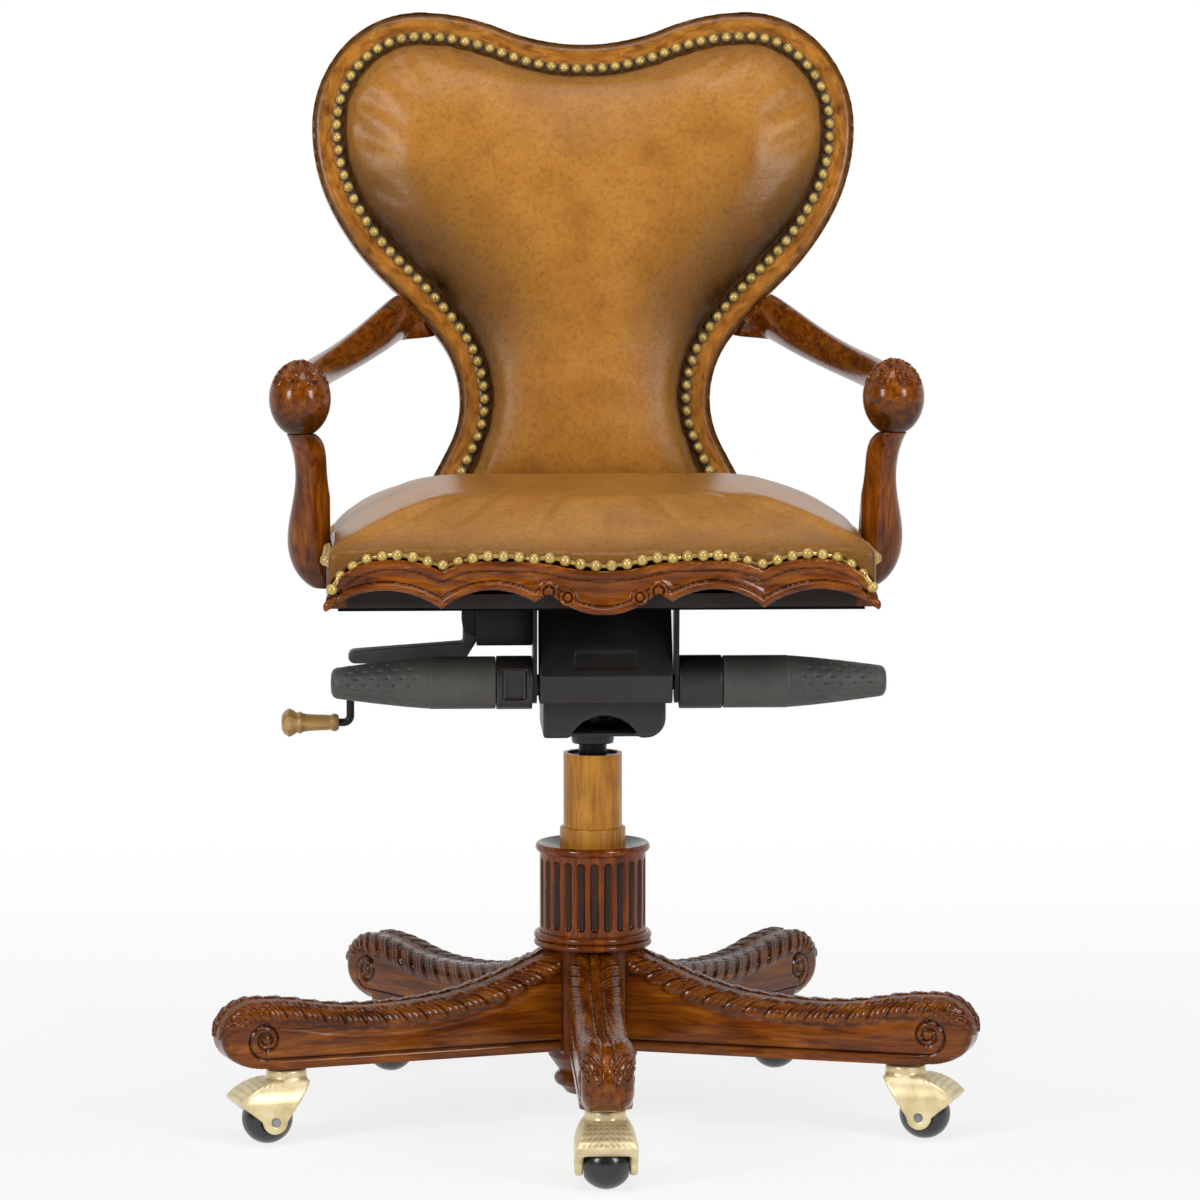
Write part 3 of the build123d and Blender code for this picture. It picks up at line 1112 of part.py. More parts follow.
# Glued corner blocks on the board, in the angles of the rails
with BuildPart() as corner_blocks:
    with BuildSketch(Plane.XY.offset(BOARD_TOP)):
        add(seat_plan(RAIL_THICKNESS + SEAT_FIT, SEAT_BACK))
    extrude(amount=BLOCK_HEIGHT)
    split(bisect_by=Plane.XZ.offset(-FRONT_RAIL_BACK), keep=Keep.BOTTOM)
    split(bisect_by=Plane.XZ.offset(-BACK_RAIL_FRONT), keep=Keep.TOP)
    with BuildSketch(Plane.XY.offset(BOARD_TOP)):
        front_half = SEAT_SIDE - RAIL_THICKNESS
        rear_half = SEAT_BACK_HALF - RAIL_THICKNESS
        with BuildLine():
            Polyline(
                (0, FRONT_RAIL_BACK - BLOCK_SIZE),
                (front_half - BLOCK_SIZE, FRONT_RAIL_BACK),
                (front_half + BLOCK_SIZE, FRONT_RAIL_BACK + 2 * BLOCK_SIZE),
                (front_half + BLOCK_SIZE, BACK_RAIL_FRONT - 2 * BLOCK_SIZE),
                (rear_half - BLOCK_SIZE, BACK_RAIL_FRONT),
                (0, BACK_RAIL_FRONT + BLOCK_SIZE),
            )
            mirror(about=Plane.YZ)
        make_face()
    extrude(amount=BLOCK_HEIGHT, mode=Mode.SUBTRACT)
save(corner_blocks, "corner_blocks")

# Seat pad: drawn in over the rails and crowned, its front edge following the apron's crest
PAD_BOTTOM = RAIL_TOP + SOFT_GAP
with BuildPart() as seat_pad:
    lip_height = RAIL_HEIGHT + PAD_LIP
    lip_plane = Plane((0, FRONT_RAIL_BACK, RAIL_BOTTOM + SOFT_GAP), x_dir=(1, 0, 0), z_dir=(0, -1, 0))
    with BuildSketch(lip_plane):
        with BuildLine():
            crest_edge()
            Polyline((SEAT_CORNER[0], CREST_TIP), (SEAT_CORNER[0], lip_height), (0, lip_height))
            mirror(about=Plane.YZ)
        make_face()
    extrude(amount=FRONT_RAIL_BACK - SEAT_FRONT)
    with BuildSketch(Plane.XY.offset(RAIL_BOTTOM)):
        add(seat_plan(PAD_SIDE_INSET + PAD_LIP_INSET, PAD_REAR - PAD_LIP_INSET))
    extrude(amount=2 * RAIL_HEIGHT, mode=Mode.INTERSECT)
    for share, amount in PAD_CROWN:
        with BuildSketch(Plane.XY.offset(PAD_BOTTOM + share * PAD_HEIGHT)):
            add(seat_plan(PAD_SIDE_INSET + amount, PAD_REAR - amount))
    loft()
save(seat_pad, "seat_pad")


# Back: a waisted, heart-topped frame with a closed panel behind and a crowned pad in front
def back_outline(amount, foot):
    """Outline of the back, drawn in from its edge and closed along a level foot below the waist."""
    flare = (BACK_WAIST[1] - foot) / BACK_WAIST[1]
    foot_half = BACK_WAIST[0] + (BACK_FOOT_HALF - BACK_WAIST[0]) * flare**2 - amount
    knots = inset(
        [
            ((0, BACK_NOTCH), 0),
            (BACK_TOP, 0),
            (BACK_LOBE, -90),
            (BACK_FLANK, BACK_FLANK_HEADING),
            (BACK_WAIST, -90),
        ],
        amount,
    )
    knots.append(((foot_half, foot), -90 + (BACK_FOOT_HEADING + 90) * flare))
    with BuildSketch() as outline:
        with BuildLine():
            biarcs(knots)
            Line((foot_half, foot), (0, foot))
            mirror(about=Plane.YZ)
        make_face()
    return outline.sketch_local


with BuildPart() as back_frame:
    with BuildSketch(BACK_PLANE):
        add(back_outline(0, -BACK_THICKNESS * tan(radians(RECLINE))))
    extrude(amount=-BACK_THICKNESS)
    with BuildSketch(BACK_PLANE):
        add(back_outline(BACK_BAND, BACK_BAND_FOOT))
    extrude(amount=-BACK_THICKNESS, mode=Mode.SUBTRACT)
    split(bisect_by=Plane.XY.offset(BACK_FOOT_Z), keep=Keep.TOP)
save(back_frame, "back_frame")

with BuildPart() as back_panel:
    with BuildSketch(BACK_PLANE.offset(-BACK_THICKNESS)):
        add(back_outline(BACK_BAND + SEAT_FIT, BACK_BAND_FOOT + SEAT_FIT))
    extrude(amount=BACK_PANEL)
save(back_panel, "back_panel")

with BuildPart() as back_pad:
    for share, amount in BACK_CROWN:
        with BuildSketch(BACK_PLANE.offset(share * BACK_PAD_CROWN)):
            add(back_outline(BACK_PAD_INSET + amount, BACK_PAD_FOOT + amount / 2))
    loft()
save(back_pad, "back_pad")


# Arms: swept back from a ball end to the back frame, each on a shaped post beside the rail
def build_arm(side):
    recline = tan(radians(RECLINE))
    back_y = BACK_FOOT_Y + ARM_BACK_HEIGHT * recline + ARM_BACK_SINK
    stations = [Vector(side * ARM_BACK_HALF, back_y, BACK_FOOT_Z + ARM_BACK_HEIGHT)]
    for x, y, height in (ARM_ELBOW, ARM_MIDDLE, ARM_FORE, BALL):
        stations.append(Vector(side * x, y, RAIL_BOTTOM + height))
    ball = stations[-1]
    stations[-1] = ball + Vector(0, 0, ARM_OVER_BALL)
    with BuildPart() as arm:
        for i, station in enumerate(stations):
            ahead = stations[min(i + 1, len(stations) - 1)] - stations[max(i - 1, 0)]
            across = ahead.cross(Vector(0, 0, 1))
            with BuildSketch(Plane(origin=station, x_dir=across, z_dir=ahead)):
                Ellipse(ARM_HALF_WIDTHS[i], ARM_HALF_HEIGHTS[i])
        loft()
        with BuildSketch(Plane(origin=ball, x_dir=(1, 0, 0), z_dir=(0, -1, 0))):
            with BuildLine():
                EllipticalCenterArc((0, 0), BALL_RADIUS, BALL_HALF_HEIGHT, -90, arc_size=180)
                Line((0, -BALL_HALF_HEIGHT), (0, BALL_HALF_HEIGHT))
            make_face()
        revolve(axis=Axis(ball, (0, 0, 1)))
        split(bisect_by=Plane.XY.offset(ball.Z - BALL_FLAT), keep=Keep.TOP)
        add(back_frame.part, mode=Mode.SUBTRACT)
    return arm


def build_arm_support(side):
    top = (BALL[0], BALL[1], BALL[2] - BALL_FLAT)
    with BuildPart() as post:
        for (x, y, height), half in (
            (top, POST_TOP_HALF),
            (POST_NECK, POST_NECK_HALF),
            (POST_CALF, POST_CALF_HALF),
            (POST_HEEL, POST_HEEL_HALF),
            (POST_ANKLE, POST_ANKLE_HALF),
            (POST_SOLE, POST_SOLE_HALF),
        ):
            with BuildSketch(Plane((side * x, y, RAIL_BOTTOM + height))):
                Ellipse(half, POST_DEPTH * half)
        loft()
        split(bisect_by=Plane.YZ.offset(side * SEAT_SIDE), keep=Keep.TOP if side > 0 else Keep.BOTTOM)
    return post


for place, side in (("left", -1), ("right", 1)):
    save(build_arm(side), f"arm_{place}")
    save(build_arm_support(side), f"arm_support_{place}")
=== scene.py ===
import math

import bmesh
import bpy
import numpy as np
from mathutils import Matrix, Vector
from mathutils.bvhtree import BVHTree


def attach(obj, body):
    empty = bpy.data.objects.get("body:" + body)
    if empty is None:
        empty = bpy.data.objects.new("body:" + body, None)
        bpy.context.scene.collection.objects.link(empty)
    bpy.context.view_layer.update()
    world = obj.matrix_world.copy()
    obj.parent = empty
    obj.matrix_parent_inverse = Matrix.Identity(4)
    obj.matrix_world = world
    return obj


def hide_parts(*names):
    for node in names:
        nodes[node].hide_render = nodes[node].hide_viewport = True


# A carved walnut desk chair with tan leather, on a five-leg base with a gas column
# and a knee-tilt mechanism. Metres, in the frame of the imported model; the sitter faces -Y.
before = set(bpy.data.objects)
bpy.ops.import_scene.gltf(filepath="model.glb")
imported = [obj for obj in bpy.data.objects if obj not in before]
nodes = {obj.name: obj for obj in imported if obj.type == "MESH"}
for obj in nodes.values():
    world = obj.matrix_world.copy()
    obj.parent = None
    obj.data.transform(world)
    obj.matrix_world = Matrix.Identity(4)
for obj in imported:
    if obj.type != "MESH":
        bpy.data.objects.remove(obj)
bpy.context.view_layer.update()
bpy.ops.object.select_all(action="DESELECT")


# Caster wheels: two-inch balls with flat cheeks, compression moulded in black phenolic and
# polished, so that a fine flash line is left round the tread. They turn on a steel axle.
def linear(code):
    """Scene-linear colour of an sRGB hex code."""
    parts = [int(code[i : i + 2], 16) / 255 for i in (1, 3, 5)]
    return tuple(p / 12.92 if p <= 0.04045 else ((p + 0.055) / 1.055) ** 2.4 for p in parts) + (1.0,)


def add(tree, kind, inputs=(), links=(), stops=(), **settings):
    """Add a shader node with its settings, socket values, colour stops and links."""
    made = tree.nodes.new("ShaderNode" + kind)
    for key, value in settings.items():
        setattr(made, key, value)
    for key, value in dict(inputs).items():
        made.inputs[key].default_value = value
    for key, source in dict(links).items():
        tree.links.new(source, made.inputs[key])
    for i, (place, code) in enumerate(stops):
        ramp = made.color_ramp.elements
        stop = ramp[i] if i < 2 else ramp.new(place)
        stop.position, stop.color = place, linear(code)
    return made


def new_material(name, **sockets):
    """A material with its Principled shader's constant sockets set, its node tree and shader."""
    made = bpy.data.materials.new(name)
    made.use_nodes = True
    shader = made.node_tree.nodes["Principled BSDF"]
    for key, value in sockets.items():
        shader.inputs[key.replace("_", " ")].default_value = value
    return made, made.node_tree, shader


def worn(name, coarse, fine, codes, rough, height, **sockets):
    """A material with cloudy colour, uneven roughness and a fine bump: the sizes are in metres."""
    made, tree, shader = new_material(name, **sockets)
    vector = add(tree, "TexCoord").outputs["Object"]
    cloud = add(tree, "TexNoise", {"Scale": 1 / coarse, "Detail": 5.0, "Roughness": 0.6}, {"Vector": vector})
    stops = [(0.3 + 0.4 * i / max(1, len(codes) - 1), code) for i, code in enumerate(codes)]
    tint = add(tree, "ValToRGB", links={"Fac": cloud.outputs["Fac"]}, stops=stops)
    tree.links.new(tint.outputs["Color"], shader.inputs["Base Color"])
    grit = add(tree, "TexNoise", {"Scale": 1 / fine, "Detail": 3.0}, {"Vector": vector})
    patchy = add(tree, "MapRange", {"To Min": rough[0], "To Max": rough[1]}, {"Value": cloud.outputs["Fac"]})
    tree.links.new(patchy.outputs["Result"], shader.inputs["Roughness"])
    bump = add(tree, "Bump", {"Strength": 1.0, "Distance": height}, {"Height": grit.outputs["Fac"]})
    tree.links.new(bump.outputs["Normal"], shader.inputs["Normal"])
    return made


def activate(piece):
    """Make a piece the only selected and active one."""
    bpy.ops.object.select_all(action="DESELECT")
    piece.select_set(True)
    bpy.context.view_layer.objects.active = piece


def dress(piece, material, body, slot, *stands_for):
    """Give a finished piece its material, its body and the nodes it stands for; the slot is not used."""
    piece.data.materials.clear()
    piece.data.materials.append(material)
    activate(piece)
    bpy.ops.object.shade_smooth_by_angle(angle=math.radians(50))
    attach(piece, body)
    if stands_for:
        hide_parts(*stands_for)
    return piece


def paint(material, *names):
    """Put a material on CAD nodes that keep their own shape."""
    for name in names:
        nodes[name].data.materials.clear()
        nodes[name].data.materials.append(material)


phenolic = worn(
    "black_phenolic_polished", 0.012, 0.0012, ("#101113", "#191a1d", "#232326"), (0.16, 0.34), 0.00003,
    IOR=1.6, Specular_IOR_Level=0.5,
)

PLACES = {"front": 270, "front_right": 342, "rear_right": 54, "rear_left": 126, "front_left": 198}
WHEEL_RADIUS = 0.0254
WHEEL_HALF = 0.0215
TRAIL_CIRCLE = 0.344
FLASH = 0.00015
for place, angle in PLACES.items():
    bpy.ops.mesh.primitive_uv_sphere_add(segments=64, ring_count=48, radius=WHEEL_RADIUS)
    wheel = bpy.context.object
    wheel.name = "ball_wheel_" + place
    bpy.ops.object.mode_set(mode="EDIT")
    for cheek in (-1, 1):
        bpy.ops.mesh.select_all(action="SELECT")
        bpy.ops.mesh.bisect(
            plane_co=(0, 0, cheek * WHEEL_HALF), plane_no=(0, 0, cheek), use_fill=True, clear_outer=True
        )
    bpy.ops.object.mode_set(mode="OBJECT")
    shape = bmesh.new()
    shape.from_mesh(wheel.data)
    cheeks = [f for f in shape.faces if len(f.verts) > 8]
    bmesh.ops.inset_individual(shape, faces=cheeks, thickness=0.003, depth=-0.0012)
    for vertex in shape.verts:
        if abs(vertex.co.z) < 0.0004:
            vertex.co.xy *= 1 + FLASH / WHEEL_RADIUS
    turn = Matrix.Rotation(math.radians(angle), 4, "Z") @ Matrix.Translation((TRAIL_CIRCLE, 0, WHEEL_RADIUS))
    shape.transform(turn @ Matrix.Rotation(math.radians(90), 4, "X"))
    bmesh.ops.recalc_face_normals(shape, faces=shape.faces)
    shape.to_mesh(wheel.data)
    shape.free()
    dress(wheel, phenolic, "wheel_" + place, "black_gloss", "caster_wheel_" + place)


# Caster hoods: cast brass with a lacquered antique finish, a round cup over the stem, two ears
# down to the axle and a turned-up brim with a chased leaf. The stem and axle are bare steel.
def new_piece(name, mesh=None):
    """A piece of the given mesh, or of an empty one."""
    made = bpy.data.objects.new(name, mesh or bpy.data.meshes.new(name))
    bpy.context.collection.objects.link(made)
    return made


def work(piece, kind, **settings):
    """Put one modifier to work on a piece and keep what it makes."""
    activate(piece)
    tool = piece.modifiers.new("tool", kind)
    for key, value in settings.items():
        setattr(tool, key, value)
    bpy.ops.object.modifier_apply(modifier="tool")


def soften(name, source, voxel, passes):
    """A copy of a CAD node with eased arrises: merged, remeshed in small squares and smoothed."""
    piece = new_piece(name, nodes[source].data.copy())
    shape = bmesh.new()
    shape.from_mesh(piece.data)
    bmesh.ops.remove_doubles(shape, verts=shape.verts, dist=1e-5)
    shape.to_mesh(piece.data)
    shape.free()
    work(piece, "REMESH", mode="VOXEL", voxel_size=voxel)
    work(piece, "SMOOTH", factor=0.5, iterations=passes)
    return piece


def points_of(piece):
    """Vertex places and normals of a piece, as arrays."""
    mesh = piece.data
    places = np.empty(3 * len(mesh.vertices))
    mesh.vertices.foreach_get("co", places)
    normals = np.empty(3 * len(mesh.vertices), np.float32)
    mesh.vertex_normals.foreach_get("vector", normals)
    return places.reshape(-1, 3), normals.reshape(-1, 3).astype(float)


def put_points(piece, places):
    """Move a piece's vertices to the given places."""
    piece.data.vertices.foreach_set("co", np.ascontiguousarray(places).ravel())
    piece.data.update()


def put_values(piece, name, values):
    """Keep one number, or one vector, for each vertex for the piece's material."""
    flat = values.ndim == 1
    layer = piece.data.attributes.new(name, "FLOAT" if flat else "FLOAT_VECTOR", "POINT")
    layer.data.foreach_set("value" if flat else "vector", np.ascontiguousarray(values).ravel())


def laid_over(tree, under, code, amount):
    """A colour laid over another one, as far as a socket says."""
    return add(tree, "Mix", {7: linear(code)}, {0: amount, 6: under}, data_type="RGBA").outputs[2]


def darken(material, code, amount):
    """Lay a darker colour over a material's own."""
    tree = material.node_tree
    colour = tree.nodes["Principled BSDF"].inputs["Base Color"]
    tree.links.new(laid_over(tree, colour.links[0].from_socket, code, amount), colour)


def step(low, high, values):
    """Smooth step from 0 at low to 1 at high."""
    t = np.clip((values - low) / (high - low), 0, 1)
    return t * t * (3 - 2 * t)


brass = worn(
    "cast_brass_lacquered", 0.018, 0.0015, ("#cfba86", "#e4d2a2", "#eee0b8"), (0.26, 0.38), 0.0001,
    Metallic=0.35,
)
darken(brass, "#5a4a26", add(brass.node_tree, "Attribute", attribute_name="wax_and_shade").outputs["Fac"])

HOOD_CUP = 0.324
for place, angle in PLACES.items():
    hood = soften("caster_hood_" + place + "_cast", "caster_hood_" + place, 0.0011, 22)
    spots, normals = points_of(hood)
    out = np.array([math.cos(math.radians(angle)), math.sin(math.radians(angle))])
    along = spots[:, :2] @ out - HOOD_CUP
    across = spots[:, :2] @ np.array([-out[1], out[0]])
    leaf = np.cos(2 * np.pi * (along - 0.6 * np.abs(across)) / 0.006) * np.cos(2 * np.pi * across / 0.011)
    brim = step(0.018, 0.026, along) * step(0.1, 0.5, normals[:, 2]) * step(0.028, 0.02, np.abs(across))
    spots += normals * (0.0004 * leaf * brim)[:, None]
    put_points(hood, spots)
    put_values(hood, "wax_and_shade", 0.4 * brim * step(0.1, -0.7, leaf))
    dress(hood, brass, "caster_" + place, "brass", "caster_hood_" + place)

bright_steel = worn(
    "ground_steel", 0.02, 0.0008, ("#7d7f82", "#96989b", "#a9abad"), (0.22, 0.38), 0.00002, Metallic=1.0
)
paint(bright_steel, "caster_sockets", *["caster_pins_" + place for place in PLACES])


# Legs: five S-shaped walnut legs sawn from plank, glued to the hub. Each is carved with an
# acanthus leaf along its top, a scroll on each side of its toe and a bead along its foot.
def arcs(knots, gap):
    """Points a gap apart along tangent arcs through knots, each a point and a heading in degrees."""
    points = []
    for (here, heading), (there, arriving) in zip(knots, knots[1:]):
        start, end = Vector(here), Vector(there)
        leave = Vector((math.cos(math.radians(heading)), math.sin(math.radians(heading))))
        arrive = Vector((math.cos(math.radians(arriving)), math.sin(math.radians(arriving))))
        chord = end - start
        bend, ahead = 1 - leave.dot(arrive), chord.dot(leave + arrive)
        if bend < 1e-6:
            reach = chord.dot(chord) / (2 * ahead)
        else:
            reach = (math.sqrt(ahead**2 + 2 * bend * chord.dot(chord)) - ahead) / (2 * bend)
        joint = (start + leave * reach + end - arrive * reach) / 2
        halves = []
        for origin, tangent in ((start, leave), (end, -arrive)):
            span = joint - origin
            turn = 2 * math.atan2(tangent.cross(span), tangent.dot(span))
            count = max(2, math.ceil(span.length / gap))
            run = []
            for i in range(count + 1):
                share = i / count
                if abs(turn) < 1e-5:
                    run.append(origin + span * share)
                else:
                    far = span.length * math.sin(turn * share / 2) / math.sin(turn / 2)
                    swing = Matrix.Rotation(turn * share / 2, 2)
                    run.append(origin + swing @ tangent * far)
            halves.append(run)
        points += halves[0] + halves[1][-2::-1]
    kept = [p for p, q in zip(points, points[1:]) if (q - p).length > 1e-7] + points[-1:]
    return np.array([tuple(p) for p in kept])


def near(points, line):
    """Distance from each point to a line of points, and the index of its nearest one."""
    gaps, indices = [], []
    for start in range(0, len(points), 2000):
        apart = np.hypot(*(points[start : start + 2000, None] - line[None]).transpose(2, 0, 1))
        indices.append(apart.argmin(1))
        gaps.append(apart.min(1))
    return np.concatenate(gaps), np.concatenate(indices)


def lengths(line):
    """Running length along a line of points."""
    return np.concatenate([[0], np.cumsum(np.linalg.norm(np.diff(line, axis=0), axis=1))])


def headings(line):
    """Unit direction at each point of a line."""
    ahead = np.gradient(line, axis=0)
    return ahead / np.linalg.norm(ahead, axis=1)[:, None]


def half_round(share):
    """Height of a half-round bead: 1 on its middle line and 0 from 1 outward."""
    return np.sqrt(np.clip(1 - share**2, 0, 1))


def walnut(name, codes, wax_and_shade_code, rough, grain, run=14.0):
    """Lacquered walnut: streaks along the grain, pores, a worn speckle, and dark wax in the hollows with painted
    shade.

    The grain vector runs along, across and through the plank, in metres. It comes from the piece's own
    attribute, or from its place turned by the given angles. Streaks are 1 / run metres long."""
    made, tree, shader = new_material(name, IOR=1.5, Specular_IOR_Level=0.3)
    if grain is None:
        grain = add(tree, "Attribute", attribute_name="grain").outputs["Vector"]
    else:
        grain = add(tree, "Mapping", {"Rotation": grain}, {"Vector": add(tree, "TexCoord").outputs["Object"]})
        grain = grain.outputs["Vector"]
    # Growth streaks are about 7 mm wide, with finer ones in them.
    long = add(tree, "Mapping", {"Scale": (run, 140.0, 140.0)}, {"Vector": grain})
    streak = add(tree, "TexNoise", {"Scale": 1.0, "Detail": 6.0, "Roughness": 0.62, "Distortion": 0.7},
                 {"Vector": long.outputs["Vector"]})
    stops = [(0.28 + 0.46 * i / (len(codes) - 1), code) for i, code in enumerate(codes)]
    tint = add(tree, "ValToRGB", links={"Fac": streak.outputs["Fac"]}, stops=stops)
    # Padded stain lies in clouds of about 40 mm.
    cloud = add(tree, "TexNoise", {"Scale": 25.0, "Detail": 3.0}, {"Vector": grain})
    patch = add(tree, "MapRange", {"From Min": 0.35, "From Max": 0.7, "To Min": 0.0, "To Max": 0.4},
                {"Value": cloud.outputs["Fac"]})
    stained = laid_over(tree, tint.outputs["Color"], wax_and_shade_code, patch.outputs["Result"])
    # Pores and flyspeck distress: 0.5 to 2 mm, drawn at 4 mm pitch so that they show.
    pits = add(tree, "TexNoise", {"Scale": 240.0, "Detail": 2.0}, {"Vector": grain})
    speck = add(tree, "MapRange", {"From Min": 0.66, "From Max": 0.78, "To Max": 0.5},
                {"Value": pits.outputs["Fac"]})
    # The wax_and_shade attribute lays the dark colour in as wax in carved hollows and as painted shade.
    wax_and_shade_mask = add(tree, "Attribute", attribute_name="wax_and_shade")
    dark = add(tree, "Math", links={0: speck.outputs["Result"], 1: wax_and_shade_mask.outputs["Fac"]}, operation="MAXIMUM")
    tree.links.new(laid_over(tree, stained, wax_and_shade_code, dark.outputs["Value"]), shader.inputs["Base Color"])
    dull = add(tree, "MapRange", {"To Min": rough[0], "To Max": rough[1]}, {"Value": streak.outputs["Fac"]})
    tree.links.new(dull.outputs["Result"], shader.inputs["Roughness"])
    relief = add(tree, "Math", links={0: streak.outputs["Fac"], 1: speck.outputs["Result"]}, operation="SUBTRACT")
    bump = add(tree, "Bump", {"Strength": 0.5, "Distance": 0.0003}, {"Height": relief.outputs["Value"]})
    tree.links.new(bump.outputs["Normal"], shader.inputs["Normal"])
    return made


carved_walnut = walnut(
    "walnut_carved_lacquered", ("#421c03", "#6a3105", "#874708", "#a05d10"), "#100601", (0.12, 0.2), None
)

LEG_HALF = 0.025
LEG_CROWN = 0.013
LEG_ROOT = 0.042
LEG_FOOT = 0.077
TOE_TOP = (0.358, 0.144)
TOE_TIP = (0.395, 0.110)
LEG_TOP = [
    ((LEG_ROOT, 0.178), -24),
    ((0.150, 0.1395), -11),
    ((0.241, 0.132), 0),
    (TOE_TOP, 0),
    (TOE_TIP, -88),
    ((0.350, LEG_FOOT), 180),
]
LEAF_PITCH = 0.0205
LEAF_EDGE = 0.038
LEAF_TIP = 0.0065
STEM = 0.0055
SCROLL = np.array([0.352, 0.108])
SCROLL_RADIUS = 0.020

crest = arcs(LEG_TOP, 0.001)
travel = lengths(crest)
toe_top = travel[np.hypot(*(crest - TOE_TOP).T).argmin()]
toe_tip = travel[np.hypot(*(crest - TOE_TIP).T).argmin()]
ahead = headings(crest)
inward = np.stack([ahead[:, 1], -ahead[:, 0]], axis=1)

# Saw the plank out and cover it with small squares.
sides = bmesh.new()
rim = [sides.verts.new((-LEG_HALF, -x, z)) for x, z in (*crest, (LEG_ROOT, LEG_FOOT))]
plank = sides.faces.new(rim)
pushed = bmesh.ops.extrude_face_region(sides, geom=[plank])["geom"]
bmesh.ops.translate(sides, vec=(2 * LEG_HALF, 0, 0), verts=[g for g in pushed if isinstance(g, bmesh.types.BMVert)])
bmesh.ops.recalc_face_normals(sides, faces=sides.faces)
leg = new_piece("carved_leg")
sides.to_mesh(leg.data)
sides.free()
work(leg, "REMESH", mode="VOXEL", voxel_size=0.00125)
spots, _ = points_of(leg)
reach, across, rise = -spots[:, 1], spots[:, 0], spots[:, 2]
depth, index = near(np.stack([reach, rise], axis=1), crest)
along = travel[index]
unrolled = np.abs(across) + depth

# Round the plank's upper corners over.
corner = np.abs(across) - (LEG_HALF - LEG_CROWN)
shy = LEG_CROWN - depth
radius = np.hypot(corner, shy)
over = (corner > 0) & (shy > 0) & (radius > LEG_CROWN)
scale = np.where(over, LEG_CROWN / np.maximum(radius, 1e-9), 1.0)
across = np.where(over, np.sign(across) * (LEG_HALF - LEG_CROWN + corner * scale), across)
sink = np.where(over, shy * (1 - scale), 0.0)
reach, rise = reach + inward[index, 0] * sink, rise + inward[index, 1] * sink
put_points(leg, np.stack([across, -reach, rise], axis=1))
spots, normals = points_of(leg)

# The leaf grows from the toe up to the hub: lobes sweep back on both sides of a plain stem, each
# with three veins and its rounded tip lying over the next lobe.
fan = 1 + 1.8 * step(toe_top - 0.02, toe_tip, along)
sweep = fan * (0.55 * unrolled + 0.0022 * np.sqrt(1000 * unrolled))
lobe = ((along + sweep) / LEAF_PITCH) % 1.0
tip = LEAF_EDGE + LEAF_TIP * np.sin(np.pi * lobe) ** 0.7
tip = np.minimum(tip, 0.008 + 0.036 * np.sqrt(np.clip((toe_tip + 0.002 - along) / 0.03, 0, 1)))
band = step(0.0, -0.0028, unrolled - tip) * step(STEM, STEM + 0.0012, unrolled) * (along < toe_tip + 0.002)
band *= step(0.0, 0.02, along)
swell = (1 - lobe) ** 0.6 * step(0.0, 0.12, lobe)
vein = np.cos(2 * np.pi * 3.5 * lobe)
carving = band * (0.0003 + 0.0024 * swell + 0.0005 * vein)
ground = np.exp(-(((unrolled - LEAF_EDGE - 0.009) / 0.005) ** 2)) * (1 - band) * (along < toe_top)
carving -= 0.0012 * ground
rib = step(0.0016, 0.0008, unrolled) * (along < toe_tip - 0.01)
carving += 0.0009 * rib - 0.0006 * step(0.0016, 0.0, np.abs(unrolled - STEM)) * (along < toe_tip - 0.01)
# wax_and_shade: dark wax in the veins, along the stem and in the scroll's cuts, and painted shade on each lobe's
# shadow side and in a line along the leaf's edge.
wax_and_shade = band * np.clip(0.85 * step(0.16, 0.03, lobe) + 0.5 * step(-0.2, -0.95, vein), 0, 1)
wax_and_shade = np.maximum(wax_and_shade, 0.5 * step(0.003, 0.0, np.abs(unrolled - tip - 0.0008)) * (along < toe_tip))
wax_and_shade = np.maximum(wax_and_shade, 0.6 * step(0.0018, 0.0, np.abs(unrolled - STEM)) * (along < toe_tip))

# The bead along the foot winds up into a scroll on each side of the toe.
side = step(0.0225, 0.0242, np.abs(across)) * step(0.5, 0.8, np.abs(normals[:, 0]))
wheel_x, wheel_z = reach - SCROLL[0], rise - SCROLL[1]
spin = np.maximum(np.hypot(wheel_x, wheel_z), 1e-6)
turn = (np.arctan2(wheel_z, wheel_x) / (2 * np.pi) + 0.25) % 1.0
coil = -np.log2(spin / SCROLL_RADIUS) - turn
in_scroll = side * step(-0.02, 0.06, coil)
groove = np.minimum(coil % 1.0, 1 - coil % 1.0) * spin * 0.6
eye = step(0.0046, 0.0036, spin)
cut = in_scroll * np.maximum(step(0.0016, 0.0004, groove) * (1 - eye), 0)
outer = side * step(0.0018, 0.0004, np.abs(coil) * spin * 0.6) * (coil < 0.5)
bead_line = side * step(0.0018, 0.0004, np.abs(rise - (SCROLL[1] - SCROLL_RADIUS))) * (reach < SCROLL[0])
cut = np.maximum(np.maximum(cut, outer * (coil > -0.5)), bead_line)
bead = side * half_round((rise - 0.0825) / 0.0055) * (reach < SCROLL[0])
carving = np.where(in_scroll > 0.02, in_scroll * 0.0012 * (1 - eye) + 0.0022 * eye * side, carving)
carving = carving - 0.0018 * cut + 0.0012 * bead
wax_and_shade = np.where(in_scroll > 0.02, 0.1, wax_and_shade)
wax_and_shade = np.maximum(wax_and_shade, 0.9 * cut)
spots += normals * carving[:, None]
put_points(leg, spots)
work(leg, "SMOOTH", factor=0.4, iterations=1)
put_values(leg, "wax_and_shade", np.clip(wax_and_shade, 0, 1))
put_values(leg, "grain", np.stack([reach, across, rise], axis=1))
for place, angle in PLACES.items():
    turned = new_piece("carved_leg_" + place, leg.data.copy())
    turned.data.transform(Matrix.Rotation(math.radians(angle - 270), 4, "Z"))
    dress(turned, carved_walnut, "base", "walnut", "leg_" + place)
bpy.data.objects.remove(leg)

